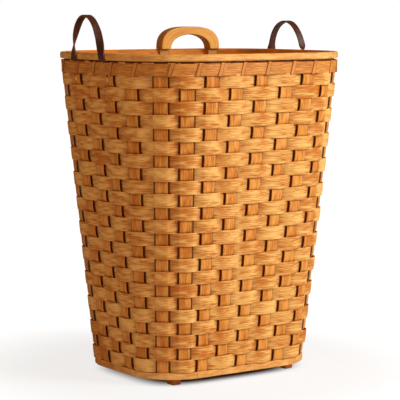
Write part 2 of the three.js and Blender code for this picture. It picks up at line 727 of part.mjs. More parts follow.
function shank(radius, fromOut, toOut) {
  const cylinder = new THREE.CylinderGeometry(radius, radius, toOut - fromOut, 8);
  return cylinder.rotateX(QUARTER_TURN).translate(0, 0, (fromOut + toOut) / 2);
}

// An oval wooden peg: its head lies on the strap's tongue and its shank goes through it.
function strapPeg({ stake, tongueShift }) {
  const headBack = SEAT + TONGUE_THICK + FIT;
  const rounding = PEG_HEAD / 3;
  const oval = new THREE.Shape().absellipse(0, 0, PEG_WIDTH / 2, PEG_HEIGHT / 2, 0, 2 * Math.PI, false);
  const head = new THREE.ExtrudeGeometry(oval, {
    depth: PEG_HEAD - 2 * rounding,
    bevelThickness: rounding,
    bevelSize: rounding,
    bevelOffset: -rounding,
    bevelSegments: 1,
    curveSegments: 6,
  });
  head.translate(0, 0, headBack + rounding);
  const body = toSolid(head).add(toSolid(shank(PEG_SHANK_RADIUS, SEAT, headBack + rounding)));
  return toGeometry(body).applyMatrix4(faceFrame(stake, tongueShift, PEG_Z));
}

function addStrap(side, seats, rise, pegged) {
  const fold = strapFold(seats);
  addPiece(`${side}_strap_loop`, strapLoop(fold, rise), leather);
  seats.forEach((seat, k) => {
    let end = strapEnd(seat, fold.feet[k], fold);
    if (pegged) {
      const hole = shank(PEG_SHANK_RADIUS + FIT, 0, SEAT + 2 * TONGUE_THICK);
      end = end.subtract(toSolid(hole.applyMatrix4(faceFrame(seat.stake, seat.tongueShift, PEG_Z))));
      addPiece(`${side}_strap_peg_${seat.end}`, strapPeg(seat), pegWood);
    }
    addPiece(`${side}_strap_end_${seat.end}`, toGeometry(end), leather);
  });
}

addStrap("left", LEFT_STRAP_SEATS, LEFT_STRAP_RISE, true);
addStrap("right", RIGHT_STRAP_SEATS, RIGHT_STRAP_RISE, false);

export default hamper;
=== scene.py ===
"""A tall laundry hamper woven from honey-stained wood splints, dressed over its CAD frame.

Every piece is a flat strip or a small block worked out with numpy. Lengths are millimetres until a
mesh is made, where they become metres. The front wide wall faces -Y and the floor is z = 0.
"""

from __future__ import annotations

import logging
import math
from collections.abc import Sequence
from dataclasses import dataclass, field
from enum import Enum

import bpy
import numpy as np
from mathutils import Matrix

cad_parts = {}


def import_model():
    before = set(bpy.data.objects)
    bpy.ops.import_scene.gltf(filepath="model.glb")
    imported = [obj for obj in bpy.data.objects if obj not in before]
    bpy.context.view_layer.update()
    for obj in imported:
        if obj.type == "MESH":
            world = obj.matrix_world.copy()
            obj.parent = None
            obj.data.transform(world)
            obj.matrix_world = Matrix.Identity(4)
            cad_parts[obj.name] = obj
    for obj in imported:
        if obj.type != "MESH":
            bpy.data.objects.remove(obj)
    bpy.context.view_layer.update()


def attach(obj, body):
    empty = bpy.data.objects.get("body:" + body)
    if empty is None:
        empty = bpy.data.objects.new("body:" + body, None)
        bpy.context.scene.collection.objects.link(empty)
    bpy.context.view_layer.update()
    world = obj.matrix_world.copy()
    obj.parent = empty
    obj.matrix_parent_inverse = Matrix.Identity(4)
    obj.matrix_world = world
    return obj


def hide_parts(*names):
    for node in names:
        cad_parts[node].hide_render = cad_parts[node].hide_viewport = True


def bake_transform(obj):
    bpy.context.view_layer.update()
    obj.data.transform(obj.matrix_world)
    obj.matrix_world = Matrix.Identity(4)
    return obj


LOG = logging.getLogger("hamper")
MM = 0.001
GRAIN_UV = "grain"
TONE = "tone"
# The attribute that carries painted shade, and on the leather the cut edges.
RECESS = "recess"
EDGE_ANGLE = 32.0
FACE_STEPS = 5
QUAD_CORNERS = ((0, 0), (1, 0), (1, 1), (0, 1))
UP = np.array([0.0, 0.0, 1.0])
WHITE = (1.0, 1.0, 1.0)
CORNER_NAMES = ("front_left", "front_right", "back_right", "back_left")
Colour = tuple[float, float, float]
Place = tuple[float, float, float]
Pair = tuple[float, float]
Values = np.ndarray | float
Socket = bpy.types.NodeSocket


class Body(str, Enum):
    """The bodies of the frame that pieces ride on."""

    BASKET = "basket"
    LEFT_STRAP = "left_strap"
    RIGHT_STRAP = "right_strap"


class Wall(Enum):
    """The four walls in the order in which the stakes are counted, anticlockwise from the front."""

    FRONT = 0
    RIGHT = 1
    BACK = 2
    LEFT = 3


class Side(str, Enum):
    """The end wall that a leather strap hangs on."""

    LEFT = "left"
    RIGHT = "right"


# Curves and surfaces


def unit(vectors: np.ndarray) -> np.ndarray:
    """Scales vectors, held along the last axis, to length one."""
    return vectors / np.linalg.norm(vectors, axis=-1, keepdims=True)


def smoothstep(value: np.ndarray, low: float, high: float) -> np.ndarray:
    """The cubic ease 3t^2 - 2t^3, from 0 where the value is low to 1 where it is high."""
    share = np.clip((value - low) / (high - low), 0.0, 1.0)
    return share * share * (3.0 - 2.0 * share)


def squared_circle(angle: np.ndarray, power: float) -> np.ndarray:
    """Rows of cosine and sine with their sizes raised to a power: 1 is a circle, 0 a square."""
    circle = np.column_stack([np.cos(angle), np.sin(angle)])
    return np.sign(circle) * np.abs(circle) ** power


def smooth_curve(controls: np.ndarray, per_span: int, closed: bool) -> np.ndarray:
    """A cubic Hermite curve through control points, spaced by their chord lengths.

    The slope at a point is that of the chord between its two neighbours. Any number of columns is
    carried along with the first three, which set the spacing.

    Args:
        controls: Points as rows, with x, y, z first.
        per_span: Samples in each span between two points.
        closed: Whether the last point joins the first.

    Returns:
        The sampled rows. A closed curve leaves out the repeat of its first point.
    """
    if closed:
        points = np.vstack([controls[-1:], controls, controls[:2]])
    else:
        before, after = 2 * controls[0] - controls[1], 2 * controls[-1] - controls[-2]
        points = np.vstack([before, controls, after])
    chords = np.linalg.norm(np.diff(points[:, :3], axis=0), axis=1)
    knots = np.concatenate([[0.0], np.cumsum(chords)])
    slopes = (points[2:] - points[:-2]) / (knots[2:] - knots[:-2])[:, None]
    start, end = points[1:-2, None], points[2:-1, None]
    length = (knots[2:-1] - knots[1:-2])[:, None, None]
    t = (np.arange(per_span) / per_span)[None, :, None]
    ease = smoothstep(t, 0.0, 1.0)
    curve = start * (1.0 - ease) + end * ease
    curve = curve + length * (t * (1.0 - t) ** 2) * slopes[:-1, None]
    curve = curve - length * (t * t * (1.0 - t)) * slopes[1:, None]
    curve = curve.reshape(-1, controls.shape[1])
    return curve if closed else np.vstack([curve, controls[-1:]])


def strip_profile(width: float, thick: float, edge: float, crown: float = 0.0) -> np.ndarray:
    """The cross-section of a flat strip with eased edges and a bowed face.

    Both faces are parabolas that bow outwards by the crown at mid-width.

    Args:
        width: Across the strip.
        thick: Through the strip.
        edge: How far the corners are eased.
        crown: How far mid-width stands out beyond the edges.

    Returns:
        Points as rows of (across, outwards), in order round the section.
    """
    half = width / 2
    across = np.linspace(-half + edge, half - edge, FACE_STEPS)
    bow = crown * (1.0 - (across / half) ** 2)
    outer = np.column_stack([across, thick / 2 + bow])
    inner = np.column_stack([across, -thick / 2 + bow])[::-1]
    lip = max(thick / 2 - edge, 0.0)
    far_side = np.array([[half, lip], [half, -lip]])
    return np.vstack([outer, far_side, inner, -far_side])


@dataclass
class Surface:
    """A closed surface as arrays: points in millimetres, faces, and what its material reads.

    Attributes:
        points: Vertices as rows of x, y, z.
        faces: Vertex indices of each face.
        uv: One row for each face corner, in metres along and round the piece.
        tone: A shade for each vertex, about zero.
        recess: Painted shade at each vertex, from 0 to 1; on the leather, its cut edges.
    """

    points: np.ndarray
    faces: list[list[int]]
    uv: np.ndarray
    tone: np.ndarray
    recess: np.ndarray

    def joined(self, other: "Surface") -> "Surface":
        """Puts this surface and another into one set of arrays.

        Args:
            other: The surface to add.

        Returns:
            Both as one.
        """
        offset = len(self.points)
        return Surface(
            np.vstack([self.points, other.points]),
            self.faces + [[index + offset for index in face] for face in other.faces],
            np.vstack([self.uv, other.uv]),
            np.concatenate([self.tone, other.tone]),
            np.concatenate([self.recess, other.recess]),
        )


def running_length(path: np.ndarray) -> np.ndarray:
    """The length, in metres, to each point of a closed path and back to its first point."""
    steps = np.linalg.norm(np.roll(path, -1, axis=0) - path, axis=1)
    return np.concatenate([[0.0], np.cumsum(steps)]) * MM


def grid_surface(
    grid: np.ndarray,
    closed: bool = False,
    tone: np.ndarray | None = None,
    recess: np.ndarray | None = None,
) -> Surface:
    """A tube of quads from a grid of sections along a path, capped at its ends unless it is closed.

    For section i and point j, a quad joins (i, j), (i+1, j), (i+1, j+1) and (i, j+1). All faces are
    turned over if the signed volume of the quads is negative.

    Args:
        grid: Points of shape (sections, points, 3).
        closed: Whether the last section joins the first.
        tone: One shade for each section, or None for none.
        recess: One share of painted shade for each section, or None for none.

    Returns:
        The surface with its map: u is the length along the path, v the length round the section.
    """
    sections, count = grid.shape[:2]
    spans = sections if closed else sections - 1
    i, j = np.meshgrid(np.arange(spans), np.arange(count), indexing="ij")
    quads = [(i + di) % sections * count + (j + dj) % count for di, dj in QUAD_CORNERS]
    quads = np.stack(quads, axis=-1).reshape(-1, 4)
    along, around = running_length(grid.mean(axis=1)), running_length(grid[sections // 2])
    uv = [np.stack([along[i + di], around[j + dj]], axis=-1) for di, dj in QUAD_CORNERS]
    uv = np.stack(uv, axis=2).reshape(-1, 4, 2)

    points = grid.reshape(-1, 3)
    a, b, c, d = (points[quads[:, k]] for k in range(4))
    volume = np.einsum("ij,ij->", a, np.cross(b, c)) + np.einsum("ij,ij->", a, np.cross(c, d))
    first, last = list(range(count)), list(range((sections - 1) * count, sections * count))
    caps = [] if closed else [first, last[::-1]]
    if volume < 0:
        quads, uv = quads[:, ::-1], uv[:, ::-1]
        caps = [cap[::-1] for cap in caps]
    cap_uv = np.tile([[along[0], around[0]]], (count * len(caps), 1))
    blank = np.zeros(sections)
    return Surface(
        points,
        quads.tolist() + caps,
        np.vstack([uv.reshape(-1, 2), cap_uv]),
        np.repeat(blank if tone is None else tone, count),
        np.repeat(blank if recess is None else recess, count),
    )


def swept_strip(
    low: np.ndarray,
    high: np.ndarray,
    profile: np.ndarray,
    closed: bool,
    tone: np.ndarray | None = None,
    recess: np.ndarray | None = None,
    spread: np.ndarray | None = None,
) -> Surface:
    """Carries a section along two rails, the middles of a strip's edges.

    At each station the section's first axis runs from the low rail to the high rail, and its second
    is the cross product of the path's direction with that axis.

    Args:
        low: The rail on the low edge, as rows.
        high: The rail on the high edge.
        profile: The section from strip_profile.
        closed: Whether the rails are closed loops.
        tone: A shade for each station, or None for none.
        recess: A share of painted shade for each station, or None for none.
        spread: A factor on the section's width for each station, or None for an even width.

    Returns:
        The strip's surface.
    """
    middle, across = (low + high) / 2, unit(high - low)
    if closed:
        forward = np.roll(middle, -1, axis=0) - np.roll(middle, 1, axis=0)
    else:
        forward = np.gradient(middle, axis=0)
    outward = unit(np.cross(forward, across))
    width = np.ones(len(middle)) if spread is None else spread
    grid = (
        middle[:, None]
        + across[:, None] * (profile[None, :, :1] * width[:, None, None])
        + outward[:, None] * profile[None, :, 1:]
    )
    return grid_surface(grid, closed, tone, recess)


# Objects


def linked(name: str, data: bpy.types.ID) -> bpy.types.Object:
    """Makes an object at the origin and links it to the scene.

    Args:
        name: The object's name.
        data: Its mesh, lamp or camera.

    Returns:
        The object.
    """
    obj = bpy.data.objects.new(name, data)
    bpy.context.scene.collection.objects.link(obj)
    return obj


def mesh_object(name: str, surface: Surface, material: bpy.types.Material) -> bpy.types.Object:
    """Makes an object from a surface, smooth but for edges sharper than the edge angle.

    Args:
        name: The object's name.
        surface: Its arrays, in millimetres.
        material: Its finish.

    Returns:
        The new object.
    """
    mesh = bpy.data.meshes.new(name)
    mesh.from_pydata((surface.points * MM).tolist(), [], surface.faces)
    layer = mesh.uv_layers.new(name=GRAIN_UV)
    layer.data.foreach_set("uv", surface.uv.astype(np.float32).ravel())
    for label, values in ((TONE, surface.tone), (RECESS, surface.recess)):
        attribute = mesh.attributes.new(label, "FLOAT", "POINT")
        attribute.data.foreach_set("value", values.astype(np.float32))
    mesh.polygons.foreach_set("use_smooth", np.ones(len(mesh.polygons), dtype=bool))
    mesh.materials.append(material)
    mesh.update()
    mesh.set_sharp_from_angle(angle=math.radians(EDGE_ANGLE))
    LOG.info("%s: %d faces", name, len(mesh.polygons))
    return linked(name, mesh)


def place_piece(obj: bpy.types.Object, body: Body, node: str) -> None:
    """Sets a piece on its body in place of its CAD node.

    Args:
        obj: The piece.
        body: The body that it rides on.
        node: The CAD node that it stands for.
    """
    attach(obj, body.value)
    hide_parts(node)


# The ring of stakes


@dataclass(frozen=True)
class HamperPlan:
    """The plan that every piece is set out from: a rounded rectangle that widens to the mouth.

    Stakes are evenly spaced along each wall, but for the gaps beside the corner stakes and for the
    small shifts of the wide walls' stakes. They lean out up to the mouth and are upright above it.

    Attributes:
        base_width, base_depth, base_radius: The rectangle at the base, at the stakes' middle.
        mouth_width, mouth_depth, mouth_radius: The rectangle at the mouth.
        wide_stakes, narrow_stakes: The stakes of one wall between its corner stakes.
        wide_corner_share, narrow_corner_share: The gap beside a corner, in stake spacings.
        wide_shifts: How far along each wide wall's stakes are moved, from the left at the front.
        stake_width, stake_base_width, stake_thick: Of a stake: at the mouth, at the base, through.
        tail_z, base_z, base_lift: The middles of the corner tails and of the base, and how far the
            splints lie over and under the base's middle.
        turn_z, mouth_z: Where the stakes start and stop leaning.
        first_row_z, row_pitch, rows: The lowest row's lower edge, the rows' pitch and number.
        band_z, band_top_z, strap_z: The band below the rim, and the straps' fold.
        rim_z, rim_top_z: The rim.
    """

    base_width: float = 383.0
    base_depth: float = 286.5
    base_radius: float = 93.0
    mouth_width: float = 486.0
    mouth_depth: float = 417.0
    mouth_radius: float = 142.0
    wide_stakes: int = 7
    narrow_stakes: int = 5
    wide_corner_share: float = 0.9
    narrow_corner_share: float = 1.0
    wide_shifts: tuple[float, ...] = (0.0, -6.5, -5.5, -3.0, 1.5, -2.5, -2.5)
    stake_width: float = 25.5
    stake_base_width: float = 21.5
    stake_thick: float = 1.8
    tail_z: float = 12.7
    base_z: float = 15.85
    base_lift: float = 1.05
    turn_z: float = 26.35
    first_row_z: float = 26.85
    row_pitch: float = 24.5
    rows: int = 23
    mouth_z: float = 586.85
    band_z: float = 588.45
    band_top_z: float = 610.95
    strap_z: float = 613.65
    rim_z: float = 615.05
    rim_top_z: float = 627.55

    @property
    def count(self) -> int:
        """The number of stakes round the wall."""
        return 2 * (self.wide_stakes + self.narrow_stakes + 2)

    def corner(self, wall: Wall) -> int:
        """The number of the corner stake at which a wall starts."""
        wide, narrow = self.wide_stakes + 1, self.narrow_stakes + 1
        return (0, wide, wide + narrow, 2 * wide + narrow)[wall.value]

    def stakes_at(self, width: float, depth: float, radius: float) -> np.ndarray:
        """Sets the stakes out on one rounded rectangle.

        Along a wall, the distance from the middle of the wall past the straight part, over the
        radius, is the angle through which the corner has turned.

        Args:
            width: Along X.
            depth: Along Y.
            radius: Of the corners.

        Returns:
            Rows of x, y and the angle that the stake faces.
        """
        rows = []
        for wall in Wall:
            wide = wall in (Wall.FRONT, Wall.BACK)
            half, gap = (width / 2, depth / 2) if wide else (depth / 2, width / 2)
            number = self.wide_stakes if wide else self.narrow_stakes
            corner_share = self.wide_corner_share if wide else self.narrow_corner_share
            straight = half - radius
            length = 2 * straight + math.pi / 2 * radius
            spacing = length / (number - 1 + 2 * corner_share)
            distance = np.concatenate([[0.0], (np.arange(number) + corner_share) * spacing])
            distance = distance - length / 2
            if wide:
                shifts = np.array(self.wide_shifts)
                distance[1:] += shifts if wall is Wall.FRONT else -shifts[::-1]
            turn = np.sign(distance) * np.maximum(np.abs(distance) - straight, 0.0) / radius
            along = np.clip(distance, -straight, straight) + radius * np.sin(turn)
            out = gap - radius + radius * np.cos(turn)
            cos, sin = math.cos(wall.value * math.pi / 2), math.sin(wall.value * math.pi / 2)
            facing = (wall.value - 1) * math.pi / 2 + turn
            rows.append(
                np.column_stack([along * cos + out * sin, along * sin - out * cos, facing])
            )
        return np.vstack(rows)

    def lean(self, z: Values) -> Values:
        """How far up the leaning part of the wall a height is, from 0 to 1."""
        return np.clip((z - self.turn_z) / (self.mouth_z - self.turn_z), 0.0, 1.0)

    def half_stake(self, z: Values) -> Values:
        """Half the width of a stake at a height."""
        taper = (self.stake_width - self.stake_base_width) * self.lean(z)
        return (self.stake_base_width + taper) / 2

    def beside(self, stake: Values, along: Values, out: Values, z: Values) -> np.ndarray:
        """Points beside stakes: so far along the wall, out from the stake's middle, and up.

        Args:
            stake: Stake numbers.
            along: Distances along the wall.
            out: Distances outwards.
            z: Heights.

        Returns:
            Points of the shape that the four arrays broadcast to, with a last axis of 3.
        """
        stake, along, out, z = np.broadcast_arrays(stake, along, out, z)
        stake = stake % self.count
        base = self.stakes_at(self.base_width, self.base_depth, self.base_radius)[stake]
        mouth = self.stakes_at(self.mouth_width, self.mouth_depth, self.mouth_radius)[stake]
        place = base + (mouth - base) * self.lean(z)[..., None]
        cos, sin = np.cos(place[..., 2]), np.sin(place[..., 2])
        x = place[..., 0] - sin * along + cos * out
        y = place[..., 1] + cos * along + sin * out
        return np.stack([x, y, z], axis=-1)

    def around(self, stake: Values, along: Values, out: Values, z: Values) -> np.ndarray:
        """Points beside stakes that follow the ring past a stake's edge.

        Between the edges of two stakes the ring is a cubic Hermite curve whose end slopes are the
        directions of the stakes' faces, each as long as the chord.

        Args:
            stake, out, z: As beside takes them.
            along: Distances along the ring from the stake's middle, less than one spacing.

        Returns:
            Points as beside gives them.
        """
        stake, along, out, z = np.broadcast_arrays(stake, along, out, z)
        way = np.where(along < 0.0, -1, 1)
        edge = self.half_stake(z)
        start = self.beside(stake, way * edge, out, z)
        end = self.beside(stake + way, -way * edge, out, z)
        leave = self.beside(stake, way * (edge + 1.0), out, z) - start
        arrive = end - self.beside(stake + way, -way * (edge + 1.0), out, z)
        chord = np.linalg.norm(end - start, axis=-1, keepdims=True)
        t = np.maximum(np.abs(along) - edge, 0.0)[..., None] / chord
        curve = start + (end - start) * (t * t * (3.0 - 2.0 * t))
        curve = curve + chord * t * (1.0 - t) * ((1.0 - t) * leave - t * arrive)
        near = self.beside(stake, along, out, z)
        return np.where((np.abs(along) > edge)[..., None], curve, near)

    def ring_rail(self, along: Values, out: Values, z: Values) -> np.ndarray:
        """Control points as rows round the ring, from arrays that broadcast to (stakes, k)."""
        return self.around(np.arange(self.count)[:, None], along, out, z).reshape(-1, 3)


# Finishes

# The dark tone that the recess attribute mixes in: painted shade down in the weave and in other
# shaded places.
PAINTED_SHADE_TONE = (0.17, 0.043, 0.007)


@dataclass(frozen=True)
class WoodFinish:
    """A stained wood: its colours, and how its grain, sheen and relief look.

    Attributes:
        name: The material's name.
        light: The lighter tone between the grain lines.
        dark: The tone of the grain lines.
        deep: The painted shade's tone, down in the weave and in other shaded places.
        grain: Grain lines for each metre across the strip.
        stretch: Grain features for each metre along the strip.
        contrast: How strongly the grain shows.
        bands: How much of the broad bands the contrast takes away.
        pores: How dark the pores are, for full contrast.
        shading: The sum of grain and tone that is all dark, and the one that is all light.
        roughness: Of the varnish, on the dark lines and on the light ones.
        bump: The strength of the relief.
        relief: The depth of the grain, in metres.
        specular: The strength of the sheen.
    """

    name: str
    light: Colour
    dark: Colour
    deep: Colour = PAINTED_SHADE_TONE
    grain: float = 520.0
    stretch: float = 45.0
    contrast: float = 0.7
    bands: float = 0.5
    pores: float = 0.55
    shading: Pair = (0.05, 1.25)
    roughness: Pair = (0.58, 0.41)
    bump: float = 0.5
    relief: float = 0.00012
    specular: float = 0.34


@dataclass(frozen=True)
class LeatherFinish:
    """A dyed strap leather.

    Attributes:
        name: The material's name.
        face: The dyed face.
        worn: Where the dye is rubbed, and along the cut edges.
        pebble: Grain cells for each metre.
        rubbed: How far the dye is gone in the rubbed patches.
        roughness: Of the face, and of the rubbed patches.
        bump: The strength of the relief.
        relief: The depth of the creases, in metres.
        specular: The strength of the sheen.
    """

    name: str
    face: Colour
    worn: Colour
    pebble: float = 900.0
    rubbed: float = 0.45
    roughness: Pair = (0.42, 0.62)
    bump: float = 0.35
    relief: float = 0.0003
    specular: float = 0.3


@dataclass(frozen=True)
class NoiseLayer:
    """A layer of noise: its scale along and across, its octaves, and the values made 0 and 1."""

    along: float
    across: float
    detail: float
    low: float
    high: float


GRAIN_LAYERS = {
    "Lines": NoiseLayer(1.0, 1.0, 3.0, 0.32, 0.68),
    "Pores": NoiseLayer(4.0, 2.2, 1.0, 0.62, 0.74),
    "Bands": NoiseLayer(0.45, 0.16, 2.0, 0.3, 0.7),
}
RUBBED_LAYER = NoiseLayer(90.0, 90.0, 4.0, 0.45, 0.75)

WEAVER_WOOD = WoodFinish("weaver splint", (0.95, 0.58, 0.17), (0.56, 0.155, 0.007), contrast=0.65)
STAKE_WOOD = WoodFinish("stake splint", (0.88, 0.41, 0.08), (0.56, 0.165, 0.01), contrast=0.6)
BAND_WOOD = WoodFinish("band splint", (0.74, 0.31, 0.062), (0.44, 0.145, 0.018), contrast=0.9)
LASHING_WOOD = WoodFinish("lashing splint", (0.78, 0.32, 0.07), (0.54, 0.185, 0.034), contrast=0.6)
RIM_WOOD = WoodFinish("rim hoop", (0.92, 0.53, 0.17), (0.68, 0.30, 0.065), grain=380.0)
# A darker, redder copy of the wood for the inside hoop and band: painted shade for the dim inside
# of the basket.
SHADED_INSIDE_WOOD = WoodFinish("shaded inside splint", (0.80, 0.27, 0.012), (0.52, 0.155, 0.006))
HANDLE_WOOD = WoodFinish(
    "bent handle", (0.95, 0.49, 0.10), (0.77, 0.33, 0.05), grain=330.0, stretch=16.0
)
FOOT_WOOD = WoodFinish("foot block", (0.76, 0.25, 0.045), (0.50, 0.15, 0.023))
PEG_WOOD = WoodFinish("strap peg", (0.95, 0.66, 0.32), (0.80, 0.46, 0.17), contrast=0.4)
STRAP_LEATHER = LeatherFinish("strap leather", (0.062, 0.0185, 0.0105), (0.19, 0.055, 0.026))


class Nodes:
    """A short way to add nodes to a tree and join them."""

    def __init__(self, tree: bpy.types.NodeTree) -> None:
        """Keeps the tree."""
        self.tree = tree

    @classmethod
    def of(cls, owner: bpy.types.Material | bpy.types.World) -> Nodes:
        """Empties a node tree.

        Args:
            owner: What it belongs to.

        Returns:
            The tree's nodes.
        """
        owner.use_nodes = True
        owner.node_tree.nodes.clear()
        return cls(owner.node_tree)

    def feed(self, value: object, socket: Socket) -> None:
        """Gives an input what it takes.

        Args:
            value: Another node's output, a colour or a number.
            socket: The input.
        """
        if isinstance(value, Socket):
            self.tree.links.new(value, socket)
        else:
            socket.default_value = (*value, 1.0) if isinstance(value, tuple) else value

    def add(
        self, kind: str, inputs: dict[str | int, object] | None = None, **settings: object
    ) -> bpy.types.Node:
        """Adds a node.

        Args:
            kind: Its type name.
            inputs: What its inputs take.
            settings: Properties to set on it.

        Returns:
            The node.
        """
        node = self.tree.nodes.new(kind)
        for key, value in settings.items():
            setattr(node, key, value)
        for key, value in (inputs or {}).items():
            self.feed(value, node.inputs[key])
        return node

    def noise(self, vector: Socket, scale: float, layer: NoiseLayer) -> Socket:
        """A layer of noise, from 0 to 1.

        Args:
            vector: Where to sample it.
            scale: Its features for each unit.
            layer: Its octaves and the values made 0 and 1.

        Returns:
            The output.
        """
        inputs = {"Vector": vector, "Scale": scale, "Detail": layer.detail}
        noise = self.add("ShaderNodeTexNoise", inputs).outputs["Fac"]
        return self.ramp(noise, (layer.low, layer.high))

    def ramp(
        self, value: Socket, source: Pair, target: Pair = (0.0, 1.0), kind: str = "SMOOTHSTEP"
    ) -> Socket:
        """Maps a value, clamped, from one range to another.

        Args:
            value: The value's socket.
            source: The values that become the ends of the target.
            target: The range it is mapped to.
            kind: How it goes from end to end.

        Returns:
            The output.
        """
        inputs = {"Value": value, "From Min": source[0], "From Max": source[1]}
        inputs |= {"To Min": target[0], "To Max": target[1]}
        return self.add("ShaderNodeMapRange", inputs, interpolation_type=kind).outputs["Result"]

    def math(self, operation: str, first: object, second: object) -> Socket:
        """The output of a sum on two values, each a socket or a number."""
        return self.add("ShaderNodeMath", {0: first, 1: second}, operation=operation).outputs[0]

    def mix(self, factor: Socket, first: object, second: object) -> Socket:
        """Mixes two colours.

        Args:
            factor: How much of the second.
            first: A socket or a colour.
            second: A socket or a colour.

        Returns:
            The output.
        """
        node = self.add("ShaderNodeMix", {"Factor": factor}, data_type="RGBA")
        for label, value in (("A", first), ("B", second)):
            self.feed(value, next(s for s in node.inputs if s.name == label and s.type == "RGBA"))
        return next(s for s in node.outputs if s.type == "RGBA")


class FinishShop:
    """Makes the materials, and the node groups that they share."""

    def __init__(self) -> None:
        """Builds the shared groups."""
        self.grain_group = self._grain_group()
        self.pebble_group = self._pebble_group()

    @staticmethod
    def _new_group(
        name: str, values: tuple[str, ...], results: tuple[str, ...]
    ) -> tuple[Nodes, bpy.types.Node, bpy.types.Node]:
        """Starts a node group that takes a vector and some values.

        Args:
            name: The group's name.
            values: The names of its inputs after Vector.
            results: The names of its outputs.

        Returns:
            The group's nodes, its input node and its output node.
        """
        tree = bpy.data.node_groups.new(name, "ShaderNodeTree")
        tree.interface.new_socket("Vector", in_out="INPUT", socket_type="NodeSocketVector")
        for way, labels in (("INPUT", values), ("OUTPUT", results)):
            for label in labels:
                tree.interface.new_socket(label, in_out=way, socket_type="NodeSocketFloat")
        nodes = Nodes(tree)
        return nodes, nodes.add("NodeGroupInput"), nodes.add("NodeGroupOutput")

    def _grain_group(self) -> bpy.types.NodeTree:
        """Wood grain along a strip's map: fine lines, short pores and broad bands.

        Returns:
            The group: in Vector, Grain and Stretch; out Lines, Pores and Bands.
        """
        nodes, start, end = self._new_group(
            "strip grain", ("Grain", "Stretch"), tuple(GRAIN_LAYERS)
        )
        for label, layer in GRAIN_LAYERS.items():
            along = nodes.math("MULTIPLY", start.outputs["Stretch"], layer.along)
            across = nodes.math("MULTIPLY", start.outputs["Grain"], layer.across)
            scale = nodes.add("ShaderNodeCombineXYZ", {"X": along, "Y": across}).outputs["Vector"]
            inputs = {0: start.outputs["Vector"], 1: scale}
            stretched = nodes.add("ShaderNodeVectorMath", inputs, operation="MULTIPLY")
            noise = nodes.noise(stretched.outputs["Vector"], 1.0, layer)
            nodes.feed(noise, end.inputs[label])
        return nodes.tree

    def _pebble_group(self) -> bpy.types.NodeTree:
        """Leather grain: small cells with creases between them, and rubbed patches.

        Returns:
            The group: in Vector and Scale; out Cells and Rubbed.
        """
        nodes, start, end = self._new_group("leather pebble", ("Scale",), ("Cells", "Rubbed"))
        inputs = {label: start.outputs[label] for label in ("Vector", "Scale")}
        cells = nodes.add("ShaderNodeTexVoronoi", inputs, feature="SMOOTH_F1")
        nodes.feed(cells.outputs["Distance"], end.inputs["Cells"])
        rubbed = nodes.noise(start.outputs["Vector"], RUBBED_LAYER.along, RUBBED_LAYER)
        nodes.feed(rubbed, end.inputs["Rubbed"])
        return nodes.tree

    @staticmethod
    def _start(
        name: str, group: bpy.types.NodeTree, **values: float
    ) -> tuple[bpy.types.Material, Nodes, bpy.types.NodeOutputs, Socket]:
        """Starts a material with a node group on the piece's map.

        Args:
            name: The material's name.
            group: The node group.
            values: The group's values.

        Returns:
            The material, its nodes, the group's outputs and the recess.
        """
        material = bpy.data.materials.new(name)
        nodes = Nodes.of(material)
        uv = nodes.add("ShaderNodeUVMap", uv_map=GRAIN_UV).outputs["UV"]
        node = nodes.add("ShaderNodeGroup", {"Vector": uv} | values, node_tree=group)
        recess = nodes.add("ShaderNodeAttribute", attribute_name=RECESS).outputs["Fac"]
        return material, nodes, node.outputs, recess

    @staticmethod
    def _coat(
        nodes: Nodes,
        finish: WoodFinish | LeatherFinish,
        colour: Socket,
        wear: Socket,
        height: Socket,
    ) -> None:
        """Ends a material with its shader.

        Args:
            nodes: The material's nodes.
            finish: Its sheen and relief.
            colour: Its colour.
            wear: Where the roughness is its second value and not its first.
            height: Its relief.
        """
        rough = nodes.ramp(wear, (0.0, 1.0), finish.roughness, "LINEAR")
        inputs = {"Strength": finish.bump, "Distance": finish.relief, "Height": height}
        bump = nodes.add("ShaderNodeBump", inputs).outputs["Normal"]
        inputs = {"Base Color": colour, "Roughness": rough, "Normal": bump}
        inputs["Specular IOR Level"] = finish.specular
        shader = nodes.add("ShaderNodeBsdfPrincipled", inputs).outputs["BSDF"]
        nodes.add("ShaderNodeOutputMaterial", {"Surface": shader})

    def wood(self, finish: WoodFinish) -> bpy.types.Material:
        """A wood material whose grain follows the piece's map.

        The colour goes from dark to light by the grain lines and broad bands, is lifted or lowered
        by the piece's own tone, and falls to the deep colour where the recess attribute paints
        shade.

        Args:
            finish: The colours and values.

        Returns:
            The material.
        """
        values = {"Grain": finish.grain, "Stretch": finish.stretch}
        material, nodes, grain, recess = self._start(finish.name, self.grain_group, **values)
        tone = nodes.add("ShaderNodeAttribute", attribute_name=TONE).outputs["Fac"]
        lines = nodes.math("MULTIPLY", grain["Lines"], finish.contrast)
        bands = nodes.math("MULTIPLY", grain["Bands"], 1.0 - finish.bands * finish.contrast)
        share = nodes.math("ADD", nodes.math("ADD", lines, bands), tone)
        colour = nodes.mix(nodes.ramp(share, finish.shading), finish.dark, finish.light)
        pores = nodes.math("MULTIPLY", grain["Pores"], finish.pores * finish.contrast)
        # Painted shade: the recess attribute mixes in the deep tone.
        colour = nodes.mix(recess, nodes.mix(pores, colour, finish.dark), finish.deep)
        height = nodes.math("SUBTRACT", grain["Lines"], grain["Pores"])
        self._coat(nodes, finish, colour, grain["Lines"], height)
        return material

    def leather(self, finish: LeatherFinish) -> bpy.types.Material:
        """A strap leather whose edges, marked as recess, show the undyed fibre.

        Args:
            finish: The colours and values.

        Returns:
            The material.
        """
        values = {"Scale": finish.pebble}
        material, nodes, grain, edge = self._start(finish.name, self.pebble_group, **values)
        rubbed = nodes.math("MULTIPLY", grain["Rubbed"], finish.rubbed)
        colour = nodes.mix(nodes.math("MAXIMUM", edge, rubbed), finish.face, finish.worn)
        self._coat(nodes, finish, colour, grain["Rubbed"], grain["Cells"])
        return material


# Sub-assemblies


